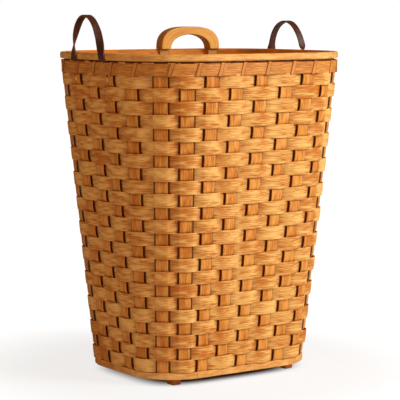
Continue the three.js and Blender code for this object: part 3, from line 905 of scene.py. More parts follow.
@dataclass
class Weave:
    """The weavers: one splint to a row, going over and under the stakes.

    Attributes:
        plan: The hamper's plan.
        thick, edge, bow: Of a splint: its thickness, its eased corners and the bow of its face.
        crown: How far a weaver stands out over the middle of a stake.
        shoulder: How far it stands out at that stake's edges.
        tuck: How far it lies behind at the edges of a stake in front of it.
        dip: How far it lies behind that stake's middle.
        slot: How far on each side of a stake the gap behind it reaches, which takes painted shade.
        slot_rise: How far the weaver has come out across the slot, as a share of its width.
        slot_ease: Where the painted shade fades out, from before to after the slot's width.
        fade: How far from a stake the weaver takes a little painted shade.
        fade_share: How much darker.
        overlap: How far neighbouring rows overlap.
        shares: The places of the points over a stake, in halves of its width.
        per_span: Samples between two points.
        crown_spread, level_spread: The spread of the crown's height, as a share, and of the level.
        row_spread, stake_spread: The spread of the shade by row and by stake.
        seed: Of these differences.
    """

    plan: HamperPlan
    thick: float = 1.5
    edge: float = 0.4
    bow: float = 0.25
    crown: float = 5.7
    shoulder: float = 4.3
    tuck: float = 2.9
    dip: float = 3.3
    slot: float = 4.2
    slot_rise: float = 0.22
    slot_ease: Pair = (-1.1, 0.1)
    fade: float = 16.0
    fade_share: float = 0.2
    overlap: float = 1.5
    shares: tuple[float, ...] = (-1.15, -0.6, 0.0, 0.6, 1.15)
    per_span: int = 4
    crown_spread: float = 0.08
    level_spread: float = 0.1
    row_spread: float = 0.06
    stake_spread: float = 0.09
    seed: int = 11

    def row(self, row: int, rng: np.random.Generator) -> Surface:
        """One weaver, as a strip on two rails that rise and fall at every stake.

        At each stake the rails pass five points. In front of a stake these lie on a parabola, which
        is highest at the stake's middle. Behind a stake they lie at its middle, at its edges and a
        slot's width beyond them. The crown's height, the row's level and the shade differ a little.

        Args:
            row: Its number, from 1 at the top.
            rng: The source of small differences.

        Returns:
            The weaver's surface.
        """
        plan, slot, shares = self.plan, self.slot, np.array(self.shares)
        over = ((np.arange(plan.count) + row) % 2 == 0)[:, None]
        start = plan.first_row_z + (plan.rows - row) * plan.row_pitch
        low = max(start - self.overlap / 2, plan.first_row_z)
        high = start + plan.row_pitch + self.overlap / 2
        half = float(plan.half_stake((low + high) / 2))
        along = np.where(over, half * shares, [-half - slot, -half, 0.0, half, half + slot])
        front = self.crown - (self.crown - self.shoulder) * shares**2
        beyond = self.slot_rise * slot - self.tuck
        behind = np.array([beyond, -self.tuck, -self.dip, -self.tuck, beyond])
        each = (plan.count, 1)
        out = np.where(over, front * rng.normal(1.0, self.crown_spread, each), behind)
        level = rng.normal(0.0, self.level_spread, each)
        tone = rng.normal(0.0, self.row_spread) + rng.normal(0.0, self.stake_spread, each)
        clear = np.where(over, 2 * half, [slot, 0.0, -half, 0.0, slot])
        extras = np.column_stack([np.repeat(tone, len(shares)), clear.ravel()])
        bottom, top = (
            smooth_curve(
                np.hstack([plan.ring_rail(along, out, z + level), extras]), self.per_span, True
            )
            for z in (low, high)
        )
        # Painted shade: the weaver's outer face darkens to the deep tone in the slots by the stakes
        # it goes behind, and a little out to the fade.
        gap = bottom[:, 4]
        lit = smoothstep(gap, slot + self.slot_ease[0], slot + self.slot_ease[1])
        full = smoothstep(gap, slot, self.fade)
        recess = 1.0 - (1.0 - self.fade_share) * lit - self.fade_share * full
        profile = strip_profile(high - low, self.thick, self.edge, self.bow)
        surface = swept_strip(bottom[:, :3], top[:, :3], profile, True, bottom[:, 3])
        surface.recess = np.outer(recess, profile[:, 1] > 0.0).ravel()
        return surface

    def build(self, shop: FinishShop) -> None:
        """Makes all the rows.

        Args:
            shop: Where the finishes are made.
        """
        rng = np.random.default_rng(self.seed)
        material = shop.wood(WEAVER_WOOD)
        for row in range(1, self.plan.rows + 1):
            name = f"weaver_{row:02d}"
            obj = mesh_object(f"{name}_splint", self.row(row, rng), material)
            place_piece(obj, Body.BASKET, name)


@dataclass
class Stakes:
    """The uprights: splints up one wall, under the base and up the other, and corner stakes.

    Attributes:
        plan: The hamper's plan.
        bow: How far a stake bows out where it is in front, and in where it is behind.
        shares: The places of its points in a row's height.
        fullness: How much of the bow it has at each of them.
        edge: How far its corners are eased.
        crease: The radius at which a stake turns up from the base.
        crease_angles: The places of its points on that turn, in degrees.
        tail: The length of a corner stake's tail under the base.
        top_z: The height of the stake tops.
        band_lap: How far above the band's lower edge the painted shade behind it is less.
        top_shade: How much painted shade it takes at the top, at the band's top and at that lap.
        base_shade: How much painted shade it takes where the stake turns and in the tails.
        per_span: Samples between two points.
        tone_spread: The spread of the shade from stake to stake.
        seed: Of these differences.
    """

    plan: HamperPlan
    bow: float = 2.2
    shares: tuple[float, ...] = (0.9, 0.68, 0.32, 0.1)
    fullness: tuple[float, ...] = (0.66, 1.0, 1.0, 0.66)
    edge: float = 0.4
    crease: float = 3.0
    crease_angles: tuple[float, ...] = (0.0, 30.0, 60.0, 90.0)
    tail: float = 60.0
    top_z: float = 626.4
    band_lap: float = 2.0
    top_shade: tuple[float, ...] = (0.5, 0.95, 0.8)
    base_shade: float = 0.3
    per_span: int = 3
    tone_spread: float = 0.1
    seed: int = 5

    def controls(
        self, stake: int, out: Values, z: Values, drop: Values, painted_shade: Values
    ) -> np.ndarray:
        """Control rows along a stake.

        Args:
            stake: Its number.
            out: How far out each row lies from the plan.
            z: The height at which it is set out.
            drop: How far below that height it lies.
            painted_shade: How much painted shade it takes.

        Returns:
            Rows of left edge, right edge and recess.
        """
        half, lower = self.plan.half_stake(z), np.multiply.outer(drop, UP)
        left, right = (self.plan.beside(stake, side, out, z) - lower for side in (-half, half))
        return np.column_stack([left, right, np.broadcast_to(painted_shade, len(left))])

    def wall_controls(self, stake: int) -> np.ndarray:
        """Control rows of a stake from its top down to where it turns under the base.

        Args:
            stake: Its number.

        Returns:
            Rows as controls gives them.
        """
        plan = self.plan
        rows = np.arange(1, plan.rows + 1)
        above = (plan.rows - rows)[:, None] + np.array(self.shares)
        heights = plan.first_row_z + above.ravel() * plan.row_pitch
        bows = np.where((stake + rows) % 2 == 1, self.bow, -self.bow)
        bows = np.outer(bows, self.fullness).ravel()
        top = [self.top_z, plan.band_top_z, plan.band_z + self.band_lap]
        z = np.concatenate([top, heights, [plan.turn_z]])
        out = np.concatenate([np.zeros(len(top)), bows, [0.0]])
        # Painted shade at the stake's top, in the gap under the rim and behind the band.
        painted_shade = np.concatenate([self.top_shade, np.zeros(len(bows) + 1)])
        return self.controls(stake, out, z, 0.0, painted_shade)

    def crease_controls(self, stake: int, flat_z: float) -> np.ndarray:
        """Control rows of the turn from the wall to a flat run under it: a quarter of a circle.

        Args:
            stake: Its number.
            flat_z: The height of the flat run.

        Returns:
            Rows as controls gives them.
        """
        angle = np.radians(self.crease_angles)
        out, drop = -self.crease * (1.0 - np.cos(angle)), self.crease * np.sin(angle)
        # Painted shade where the stake turns under the base.
        return self.controls(stake, out, flat_z + self.crease, drop, self.base_shade)

    def strip(self, controls: np.ndarray, tone: float) -> Surface:
        """Carries the stake's section along smoothed control rows.

        Args:
            controls: The rows.
            tone: The stake's shade.

        Returns:
            The stake's surface.
        """
        plan = self.plan
        curve = smooth_curve(controls, self.per_span, False)
        left, right, recess = curve[:, :3], curve[:, 3:6], np.clip(curve[:, 6], 0.0, 1.0)
        spread = np.linalg.norm(right - left, axis=1) / plan.stake_width
        profile = strip_profile(plan.stake_width, plan.stake_thick, self.edge)
        return swept_strip(left, right, profile, False, np.full(len(curve), tone), recess, spread)

    def through(
        self, near: int, far: int, run_axis: int, crossings: np.ndarray, over: np.ndarray
    ) -> np.ndarray:
        """Control rows of a splint from one wall, across the base, to the other wall.

        On the base it lies flat, high or low by the lift, across the width of each splint that it
        crosses.

        Args:
            near: The stake number at the start.
            far: The stake number at the end.
            run_axis: The axis along which it crosses the base, 0 for X and 1 for Y.
            crossings: The places of the crossing splints along that axis, in order.
            over: Whether it lies over each of them.

        Returns:
            The control rows.
        """
        plan = self.plan
        half = plan.stake_base_width / 2
        middle = plan.beside(near, 0.0, 0.0, plan.turn_z)[1 - run_axis]
        sign = 1.0 if run_axis == 1 else -1.0
        run = (crossings[:, None] + sign * np.array([-half, half])).ravel()
        lift = np.repeat(np.where(over, plan.base_lift, -plan.base_lift), 2)
        flat = np.zeros((len(run), 7))
        for column, side in ((0, -half), (3, half)):
            flat[:, column + run_axis] = run
            flat[:, column + 1 - run_axis] = middle + side
            flat[:, column + 2] = plan.base_z + lift
        start, end = (
            np.vstack([self.wall_controls(stake), self.crease_controls(stake, plan.base_z)])
            for stake in (near, far)
        )
        swapped_edges = [3, 4, 5, 0, 1, 2, 6]
        return np.vstack([start, flat, end[::-1, swapped_edges]])

    def corner_controls(self, stake: int) -> np.ndarray:
        """Control rows of a corner stake, down its corner and in under the base as a tail.

        Args:
            stake: Its number.

        Returns:
            The control rows.
        """
        plan = self.plan
        reach, drop = np.array([-self.tail / 2, -self.tail]), plan.turn_z - plan.tail_z
        tail = self.controls(stake, reach, plan.turn_z, drop, self.base_shade)
        crease = self.crease_controls(stake, plan.tail_z)
        return np.vstack([self.wall_controls(stake), crease, tail])

    def build(self, shop: FinishShop) -> None:
        """Makes the through stakes and the corner stakes.

        Args:
            shop: Where the finishes are made.
        """
        plan = self.plan
        rng = np.random.default_rng(self.seed)
        material = shop.wood(STAKE_WOOD)
        front, right = plan.corner(Wall.FRONT), plan.corner(Wall.RIGHT)
        wide, narrow = np.arange(1, plan.wide_stakes + 1), np.arange(1, plan.narrow_stakes + 1)
        wide_x = plan.beside(front + wide, 0.0, 0.0, plan.turn_z)[:, 0]
        narrow_y = plan.beside(right + narrow, 0.0, 0.0, plan.turn_z)[:, 1]
        pieces: dict[str, np.ndarray] = {}
        for number in wide:
            far, over = plan.corner(Wall.LEFT) - number, (number + narrow) % 2 == 0
            controls = self.through(number, far, 1, narrow_y, over)
            pieces[f"front_to_back_stake_{number}"] = controls
        for number in narrow:
            far, over = plan.count - number, ((wide + number) % 2 == 1)[::-1]
            controls = self.through(right + number, far, 0, wide_x[::-1], over)
            pieces[f"side_to_side_stake_{number}"] = controls
        for wall, name in zip(Wall, CORNER_NAMES):
            pieces[f"corner_stake_{name}"] = self.corner_controls(plan.corner(wall))
        for name, controls in pieces.items():
            surface = self.strip(controls, rng.normal(0.0, self.tone_spread))
            obj = mesh_object(f"{name}_splint", surface, material)
            place_piece(obj, Body.BASKET, name)


@dataclass(frozen=True)
class HoopSection:
    """A hoop's section.

    Attributes:
        inner, outer: Its faces, out from the stakes' middle.
        edge: How far its corners are eased.
        bow: How far its face bows out.
    """

    inner: float
    outer: float
    edge: float
    bow: float = 0.0


@dataclass
class RimAndBands:
    """The two rim hoops, the two bands below them with their lashing, and the foot band.

    Attributes:
        plan: The hamper's plan.
        outer_hoop, inner_hoop: The rim's hoops.
        inner_drop: How far the inner hoop reaches down below the outer one.
        outer_band, inner_band: The bands below the rim.
        foot_band: The band round the lower edge.
        foot_band_height: Of that band.
        per_span: Samples between two points.
        lashing: The flat strip round the bands: its width, its thickness, its eased corners and the
            bow of its face.
        lashing_gap: Its distance from the bands.
        lashing_low: Its place at the bottom of the band outside, along from a stake's middle.
        lashing_high: Its place at the top of the band outside.
        lashing_inside: Its place at the top and at the bottom of the band inside.
        lashing_shifts: How far the first turns, from the front left corner, lie further along.
        lashing_edge_shade: How dark the painted shade along its edges is.
        edge_shade_width: How wide those painted edges are.
        splice: The width of the line where two ends of a hoop meet.
        rim_splices: Where the rim hoops' ends meet, in stakes round the ring.
        foot_splices: Where the foot band's ends meet.
    """

    plan: HamperPlan
    outer_hoop: HoopSection = HoopSection(1.2, 8.7, 2.2)
    inner_hoop: HoopSection = HoopSection(-7.2, -1.2, 2.0)
    inner_drop: float = 3.0
    outer_band: HoopSection = HoopSection(3.7, 5.9, 0.5, 0.2)
    inner_band: HoopSection = HoopSection(-3.2, -1.2, 0.5)
    foot_band: HoopSection = HoopSection(1.2, 3.7, 0.8)
    foot_band_height: float = 12.5
    per_span: int = 4
    lashing: tuple[float, float, float, float] = (9.0, 1.0, 0.25, 0.15)
    lashing_gap: float = 0.3
    lashing_low: float = 7.5
    lashing_high: float = 14.4
    lashing_inside: float = 17.8
    lashing_shifts: tuple[float, ...] = (9.0, 10.0, 5.0)
    lashing_edge_shade: float = 0.75
    edge_shade_width: float = 0.5
    splice: float = 0.7
    rim_splices: tuple[float, ...] = (27.6,)
    foot_splices: tuple[float, ...] = (2.0, 4.95, 6.9)

    def hoop(
        self, section: HoopSection, low: float, high: float, splices: tuple[float, ...]
    ) -> Surface:
        """A hoop round the ring in lengths, whose ends meet in thin splice lines.

        Args:
            section: Its section.
            low: Its lower edge.
            high: Its upper edge.
            splices: Where its lengths meet, in stakes round the ring.

        Returns:
            The hoop's surface.
        """
        plan = self.plan
        half = float(plan.half_stake(low))
        along = np.array([[-half, 0.0, half]])
        middle = (section.inner + section.outer) / 2
        profile = strip_profile(
            high - low, section.outer - section.inner, section.edge, section.bow
        )
        rails = [
            smooth_curve(plan.ring_rail(along, middle, z), self.per_span, True) for z in (low, high)
        ]
        cuts = [round(place * along.size * self.per_span) for place in splices]
        lengths = []
        for first, last in zip(cuts, cuts[1:] + [cuts[0] + len(rails[0])]):
            parts = [rail[np.arange(first, last + 1) % len(rail)] for rail in rails]
            for part in parts:
                part[-1] -= self.splice * unit(part[-1] - part[-2])
            lengths.append(swept_strip(*parts, profile, False))
        whole = lengths[0]
        for length in lengths[1:]:
            whole = whole.joined(length)
        return whole

    def lashing_surface(self) -> Surface:
        """The lashing: up the outside at a slant, in over the top, down the inside, out underneath.

        At each stake its path runs through eleven points. The strip's width lies along the wall.

        Returns:
            The lashing's surface.
        """
        plan = self.plan
        width, thick, _, _ = self.lashing
        stand = thick / 2 + self.lashing_gap
        outside, inside = self.outer_band.outer + stand, self.inner_band.inner - stand
        low, high = plan.band_z - stand, plan.band_top_z + stand
        start, end, behind = self.lashing_low, self.lashing_high, self.lashing_inside
        rise, bend, slant, under, straight = 1.0, 1.2, 0.6, 2.0, 3.0
        path = [
            [behind, inside, low + rise],
            [behind, inside + bend, low],
            [behind - under, under, low],
            [start + under, outside - bend, low],
            [start, outside, low + rise],
            [start + slant, outside, low + straight],
            [end - slant, outside, high - straight],
            [end, outside, high - rise],
            [end + slant, outside - bend, high],
            [behind - slant, inside + bend, high],
            [behind, inside, high - rise],
        ]
        along, out, z = np.array(path).T
        along = np.tile(along, (plan.count, 1))
        along[: len(self.lashing_shifts)] += np.array(self.lashing_shifts)[:, None]
        rails = [
            smooth_curve(plan.ring_rail(along + side, out, z), self.per_span, True)
            for side in (width / 2, -width / 2)
        ]
        profile = strip_profile(*self.lashing)
        surface = swept_strip(*rails, profile, True)
        # Painted shade: dark lines along the lashing's edges.
        dark = np.abs(profile[:, 0]) > width / 2 - self.edge_shade_width
        surface.recess = np.tile(self.lashing_edge_shade * dark, len(rails[0]))
        return surface

    def build(self, shop: FinishShop) -> None:
        """Makes the hoops, the bands, the lashing and the foot band.

        Args:
            shop: Where the finishes are made.
        """
        plan = self.plan
        # The inner hoop and inner band take the shaded copy of the wood, painted shade for the
        # inside.
        rim, band, inside = shop.wood(RIM_WOOD), shop.wood(BAND_WOOD), shop.wood(SHADED_INSIDE_WOOD)
        rim_span, band_span = (plan.rim_z, plan.rim_top_z), (plan.band_z, plan.band_top_z)
        inner_span = (plan.rim_z - self.inner_drop, plan.rim_top_z)
        foot_span = (plan.turn_z - self.foot_band_height, plan.turn_z)
        rims, feet = self.rim_splices, self.foot_splices
        hoops = (
            ("outer_rim_hoop", self.outer_hoop, rim_span, rims, rim, "rim_wood"),
            ("inner_rim_hoop", self.inner_hoop, inner_span, rims, inside, "rim_wood"),
            ("outer_band", self.outer_band, band_span, rims, band, "band_splint"),
            ("inner_band", self.inner_band, band_span, rims, inside, "band_splint"),
            ("foot_band", self.foot_band, foot_span, feet, rim, "band_splint"),
        )
        for name, section, span, splices, material, slot in hoops:
            obj = mesh_object(f"{name}_strip", self.hoop(section, *span, splices), material)
            place_piece(obj, Body.BASKET, name)
        material = shop.wood(LASHING_WOOD)
        obj = mesh_object("band_lashing_strip", self.lashing_surface(), material)
        place_piece(obj, Body.BASKET, "band_lashing")


@dataclass
class Feet:
    """Four small blocks under the corners.

    Attributes:
        plan: The hamper's plan.
        width: Along X.
        depth: Along Y.
        height: Up to the corner stakes' tails.
        inset: How far the block's middle lies in from the corner stake, along X and Y.
        edge: How far its top and bottom edges are drawn in, up and across.
        power: How square its corners are; zero is square.
        points: Round the block.
    """

    plan: HamperPlan
    width: float = 19.0
    depth: float = 23.0
    height: float = 11.5
    inset: Pair = (30.0, 8.0)
    edge: Pair = (0.8, 0.9)
    power: float = 0.22
    points: int = 32

    def block(self, x: float, y: float) -> Surface:
        """A block as rounded rectangles stacked in levels, drawn in at its top and bottom edges.

        Args:
            x: Its middle.
            y: Its middle.

        Returns:
            The block's surface.
        """
        turn = np.linspace(0.0, 2 * math.pi, self.points, endpoint=False)
        ring = squared_circle(turn, self.power)
        up, across = self.edge
        levels = np.array([0.0, up, self.height / 2, self.height - up, self.height])
        drawn = np.array([across, 0.0, 0.0, 0.0, across])
        size = np.array([self.width / 2, self.depth / 2]) - drawn[:, None]
        grid = np.zeros((len(levels), len(ring), 3))
        grid[..., :2] = np.array([x, y]) + ring[None] * size[:, None]
        grid[..., 2] = levels[:, None]
        return grid_surface(grid)

    def build(self, shop: FinishShop) -> None:
        """Makes the four blocks.

        Args:
            shop: Where the finishes are made.
        """
        plan = self.plan
        material = shop.wood(FOOT_WOOD)
        for wall, name in zip(Wall, CORNER_NAMES):
            x, y, _ = plan.beside(plan.corner(wall), 0.0, 0.0, plan.turn_z)
            x, y = x - math.copysign(self.inset[0], x), y - math.copysign(self.inset[1], y)
            obj = mesh_object(f"foot_{name}_block", self.block(x, y), material)
            place_piece(obj, Body.BASKET, f"foot_{name}")


@dataclass
class ArchHandle:
    """The bent wooden handle that stands on the back rim, with tails down inside the inner hoop.

    Attributes:
        plan: The hamper's plan.
        width: Across the arch, outside.
        opening: Across the arch, inside.
        rise: The outer height above the rim.
        opening_rise: The inner height above the rim.
        squareness: How square the outer arch's shoulders are; two is an ellipse.
        opening_squareness: The same for the opening.
        depth: From front to back.
        tail_depth: From the front face back to the inner hoop.
        step: How far the tails stand back from the front face.
        tail_drop: How far the tails go down below the rim's top.
        tail_edge: How far the tails' ends are drawn in, across and up.
        seat: Its distance above the rim and inside the inner hoop.
        seat_lap: How far below its seat the tails start.
        power: How square its section is; zero is square.
        stations: Along the arch.
        points: Round the section.
        side_shade: The painted shade on the bent faces between front and back, and on the tails.
        front_share: How far out from the middle of the section its front and back faces start.
        hoop_face: The inner face of the inner hoop, out from the stakes' middle.
        from_corner: The stakes from the back right corner to the stake that the handle stands by.
        shift: How far along the wall from that stake its middle lies.
    """

    plan: HamperPlan
    width: float = 135.5
    opening: float = 90.5
    rise: float = 46.0
    opening_rise: float = 29.5
    squareness: float = 2.8
    opening_squareness: float = 2.15
    depth: float = 28.0
    tail_depth: float = 14.0
    step: float = 7.5
    tail_drop: float = 36.0
    tail_edge: Pair = (1.2, 1.5)
    seat: float = 0.3
    seat_lap: float = 0.02
    power: float = 0.16
    stations: int = 49
    points: int = 40
    side_shade: float = 0.5
    front_share: float = 0.97
    hoop_face: float = -7.2
    from_corner: int = 2
    shift: float = -1.5

    def edge_line(self, width: float, rise: float, squareness: float, ease: float) -> np.ndarray:
        """One edge of the handle: up a leg, over the arch and down the other leg.

        On the arch, |x / half the width| and |y / rise|, each to the squareness, add up to one.

        Args:
            width: Across the arch at its feet.
            rise: Of its top above the rim.
            squareness: The power.
            ease: How far the leg's end is moved across.

        Returns:
            Rows of x and of the height above the rim, from the right to the left.
        """
        drop = self.tail_drop
        x = np.full(4, width / 2) + np.array([ease, 0.0, 0.0, 0.0])
        y = np.array([-drop, -drop + self.tail_edge[1], -drop / 2, self.seat - self.seat_lap])
        leg = np.column_stack([x, y])
        angle = np.radians(np.linspace(0.0, 180.0, self.stations))
        arch = squared_circle(angle, 2.0 / squareness) * [width / 2, rise - self.seat]
        return np.vstack([leg, arch + [0.0, self.seat], leg[::-1] * [-1.0, 1.0]])

    def surface(self) -> Surface:
        """The handle: a rounded section carried over an arch and down two straight legs.

        At each station the section spans from the inner to the outer edge. Below the rim its back
        is cut to the face of the inner hoop.

        Returns:
            The handle's surface.
        """
        plan = self.plan
        stake = plan.corner(Wall.BACK) + self.from_corner
        neighbours = np.array([stake - 1, stake + 1])
        ends = plan.beside(neighbours, 0.0, self.hoop_face, plan.rim_top_z)
        along = unit(ends[1] - ends[0])
        out = np.cross(along, UP)
        origin = ends.mean(axis=0) + self.shift * along

        ease = self.tail_edge[0]
        low = self.edge_line(self.opening, self.opening_rise, self.opening_squareness, ease)
        high = self.edge_line(self.width, self.rise, self.squareness, -ease)
        turn = np.linspace(0.0, 2 * math.pi, self.points, endpoint=False)
        ring = squared_circle(turn, self.power)
        centre, reach = (low + high) / 2, (high - low) / 2
        flat = centre[:, None] + reach[:, None] * ring[None, :, :1]
        every = np.ones((len(low), 1))
        depth = -self.tail_depth + self.depth / 2 * (1.0 + ring[None, :, 1]) * every

        beyond = 3
        stakes = np.arange(stake - beyond, stake + beyond + 1)[:, None]
        sides = np.array([[-plan.stake_width / 2, plan.stake_width / 2]])
        rail = plan.beside(stakes, sides, self.hoop_face - self.seat, plan.rim_top_z)
        rail = rail.reshape(-1, 3) - origin
        cut = np.interp(flat[..., 0], rail @ along, rail @ out)
        below = flat[..., 1] < self.seat
        depth = np.where(below, np.clip(depth, self.step - self.tail_depth, cut), depth)
        grid = origin + flat[..., :1] * along + flat[..., 1:] * UP + depth[..., None] * out
        surface = grid_surface(grid)
        # Painted shade on the bent side faces and on the tails below the seat.
        painted_shade = self.side_shade * (np.abs(ring[:, 1]) < self.front_share) * every
        surface.recess = np.where(below, self.side_shade, painted_shade).ravel()
        return surface

    def build(self, shop: FinishShop) -> None:
        """Makes the handle."""
        obj = mesh_object("arch_handle_bentwood", self.surface(), shop.wood(HANDLE_WOOD))
        place_piece(obj, Body.BASKET, "arch_handle")


@dataclass(frozen=True)
class StrapSeat:
    """Where one leg of a strap goes in under the rim.

    Attributes:
        stake: The stake beside it.
        shift: How far along the wall from the stake the leg stands.
        tongue_shift: How far along the wall its tongue lies.
        end: The word for this leg in the nodes' names.
    """

    stake: int
    shift: float
    tongue_shift: float
    end: str


@dataclass
class LeatherStrap:
    """A leather strap: a loop that swings about the rim, with both ends down behind the band.

    Attributes:
        plan: The hamper's plan.
        side: The wall it hangs on.
        seats: Its two legs, in the order in which the stakes are counted.
        rise: The loop's height above the fold.
        lean: How far the top of the loop leans along the wall.
        stand_off: How far the legs stand out at the rim's top, so that their turned edges clear it.
        twist: The heights between which the strap makes a quarter turn, as shares of the rise.
        width: Of the strap at the fold.
        top_width: Of the strap round the top of the loop.
        narrow: The height at which it has that width, as a share of the rise.
        thick: Of the strap.
        edge: How far its corners are eased.
        stations: Along the loop, with its feet.
        clear: The height above the fold at which the loop's own points start.
        per_span: Samples between two points.
        fold_out: The fold line, out from the stakes' middle.
        fold_steps: The points of the fold, out from it and up.
        fold_reach: Not used.
        tab_out: The middle of the part behind the band.
        tab_steps: Its points: two up from the band's bottom, one down from its top and one down
            from the fold.
        tongue_width: Of the narrow end below the band.
        tongue_out: The middle of that end.
        tongue_z: The lower end of the tongue.
        tongue_lap: How far the tongue reaches up behind the band.
    """

    plan: HamperPlan
    side: Side
    seats: tuple[StrapSeat, StrapSeat]
    rise: float
    lean: float
    stand_off: float
    twist: Pair = (0.0, 0.85)
    width: float = 18.0
    top_width: float = 14.5
    narrow: float = 0.5
    thick: float = 3.2
    edge: float = 0.45
    stations: int = 61
    clear: float = 2.5
    per_span: int = 2
    fold_out: float = 10.3
    fold_steps: tuple[Pair, ...] = ((-6.0, 0.0), (-3.0, 0.0), (-0.9, 0.3), (0.0, 1.6))
    fold_reach: float = 3.0
    tab_out: float = 2.3
    tab_steps: tuple[float, ...] = (3.0, 8.0, 2.0, 1.3)
    tongue_width: float = 4.0
    tongue_out: float = 1.7
    tongue_z: float = 584.5
    tongue_lap: float = 2.0

    def fold(self) -> tuple[np.ndarray, np.ndarray, np.ndarray]:
        """The fold line, from leg to leg, moved out where the hoop curves away from it.

        Returns:
            The two feet of the loop as rows, the direction along the wall, and the way out.
        """
        plan, z = self.plan, self.plan.strap_z
        stakes = np.array([seat.stake for seat in self.seats])
        shifts = np.array([seat.shift for seat in self.seats])
        feet = plan.around(stakes, shifts, self.fold_out, z)
        along = unit(feet[1] - feet[0])
        facing = plan.beside(stakes, 0.0, 1.0, z) - plan.beside(stakes, 0.0, 0.0, z)
        extra = self.width / 2 * np.abs(facing @ along)
        feet = plan.around(stakes, shifts, self.fold_out + extra, z)
        along = unit(feet[1] - feet[0])
        return feet, along, np.cross(along, UP)

    def loop_rails(self) -> np.ndarray:
        """The loop's edges: half an ellipse with a quarter turn of the strap in each leg.

        The strap's width turns from along the wall, at the rim, to across it a little above. The
        loop leans along the wall with the square of its height, and stands out most at the rim.

        Returns:
            Rows of one edge and then the other.
        """
        feet, along, out = self.fold()
        middle, half = feet.mean(axis=0), np.linalg.norm(feet[1] - feet[0]) / 2
        angle = np.pi * (1.0 - np.linspace(0.0, 1.0, self.stations)[1:-1, None])
        cos, sin = np.cos(angle), np.sin(angle)
        height = self.rise * sin
        rim = self.plan.rim_top_z - self.plan.strap_z
        stand = smoothstep(height, 0.0, rim) * (1.0 - smoothstep(height, rim, self.rise))
        centre = middle + (half * cos + self.lean * sin**2) * along + height * UP
        centre = centre + self.stand_off * stand * out
        outward = unit(self.rise * cos * along + half * sin * UP)
        turn = np.pi / 2 * smoothstep(height / self.rise, *self.twist)
        face = outward * np.cos(turn) - out * np.sin(turn)
        narrowing = smoothstep(height / self.rise, 0.0, self.narrow)
        reach = face * (self.width + (self.top_width - self.width) * narrowing) / 2
        return np.hstack([centre - reach, centre + reach])

    def end_rails(
        self, seat: StrapSeat, foot: np.ndarray, along: np.ndarray, inner: float
    ) -> np.ndarray:
        """The edges of a fixed end, from its tongue up behind the band and out under the rim.

        Args:
            seat: The leg's seat.
            foot: Where the loop meets the fold line.
            along: The direction of the fold line.
            inner: 1 where the loop's inner edge lies towards the counting direction, else -1.

        Returns:
            Rows of the inner edge and then the outer edge, upwards.
        """
        plan = self.plan
        low, high, top, fold = self.tab_steps
        tongue_z = np.array([self.tongue_z, plan.mouth_z, plan.band_z + self.tongue_lap])
        tab_z = [plan.band_z + low, plan.band_z + high, plan.band_top_z - top, plan.strap_z - fold]
        steps = np.array(self.fold_steps)
        bend = foot + steps[:, :1] * np.cross(along, UP) + steps[:, 1:] * UP
        rails = []
        for side in (inner, -inner):
            half, narrow = side * self.width / 2, side * self.tongue_width / 2
            tongue = plan.beside(
                seat.stake, seat.tongue_shift + narrow, self.tongue_out, tongue_z
            )
            tab = plan.around(seat.stake, seat.shift + half, self.tab_out, np.array(tab_z))
            rails.append(np.vstack([tongue, tab, bend + half * along]))
        return np.hstack(rails)

    def surface(self) -> Surface:
        """The whole strap, from one tongue over the loop to the other.

        Returns:
            The strap's surface, with its cut edges marked as recess.
        """
        feet, along, _ = self.fold()
        first = self.end_rails(self.seats[0], feet[0], along, 1.0)
        last = self.end_rails(self.seats[1], feet[1], along, -1.0)[::-1]
        loop = self.loop_rails()
        loop = loop[loop[:, 2] > self.plan.strap_z + self.clear]
        curve = smooth_curve(np.vstack([first, loop, last]), self.per_span, False)
        low, high = curve[:, :3], curve[:, 3:]
        spread = np.linalg.norm(high - low, axis=1) / self.width
        profile = strip_profile(self.width, self.thick, self.edge)
        surface = swept_strip(low, high, profile, False, spread=spread)
        surface.recess = np.tile(np.abs(profile[:, 0]) == self.width / 2, len(curve))
        return surface

    def build(self, shop: FinishShop) -> None:
        """Makes the strap in place and hides the CAD's loop and ends.

        Args:
            shop: Where the finishes are made.
        """
        name = self.side.value
        feet, _, out = self.fold()
        obj = mesh_object(f"{name}_strap_leather", self.surface(), shop.leather(STRAP_LEATHER))
        ends = [f"{name}_strap_end_{seat.end}" for seat in self.seats]
        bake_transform(obj)
        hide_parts(f"{name}_strap_loop", *ends)


@dataclass
class StrapPegs:
    """The two pale oval pegs that hold the tongues of the left strap.

    Attributes:
        plan: The hamper's plan.
        seats: The legs that they hold.
        width: Across the head.
        height: Up the head.
        depths: How far out from the stakes' middle the ovals of a peg lie.
        sizes: How large those ovals are, as shares of the head's.
        points: Round an oval.
        drop: How far below the top of the weave the pegs sit.
    """

    plan: HamperPlan
    seats: tuple[StrapSeat, StrapSeat]
    width: float = 5.5
    height: float = 9.0
    depths: tuple[float, ...] = (1.2, 2.5, 2.5, 3.0, 4.0, 4.9)
    sizes: tuple[float, ...] = (0.3, 0.3, 0.9, 1.0, 0.92, 0.45)
    points: int = 24
    drop: float = 8.0

    def surface(self, seat: StrapSeat) -> Surface:
        """A peg: stacked ovals that swell from a shank to a domed head.

        Args:
            seat: The leg that it holds.

        Returns:
            The peg's surface.
        """
        steps = np.vstack([np.zeros(3), np.eye(3)])
        z = self.plan.mouth_z - self.drop
        places = self.plan.beside(
            seat.stake, seat.tongue_shift + steps[:, 0], steps[:, 1], z + steps[:, 2]
        )
        origin, (along, out, up) = places[0], places[1:] - places[0]
        angle = np.linspace(0.0, 2 * math.pi, self.points, endpoint=False)[:, None]
        across, upward = self.width / 2 * np.cos(angle), self.height / 2 * np.sin(angle)
        oval = across * along + upward * unit(up)
        sizes, depths = np.array(self.sizes)[:, None, None], np.array(self.depths)[:, None, None]
        return grid_surface(origin + sizes * oval + depths * out)

    def build(self, shop: FinishShop) -> None:
        """Makes both pegs.

        Args:
            shop: Where the finishes are made.
        """
        material = shop.wood(PEG_WOOD)
        for seat in self.seats:
            name = f"left_strap_peg_{seat.end}"
            obj = mesh_object(f"{name}_oval", self.surface(seat), material)
            place_piece(obj, Body.BASKET, name)


# Studio


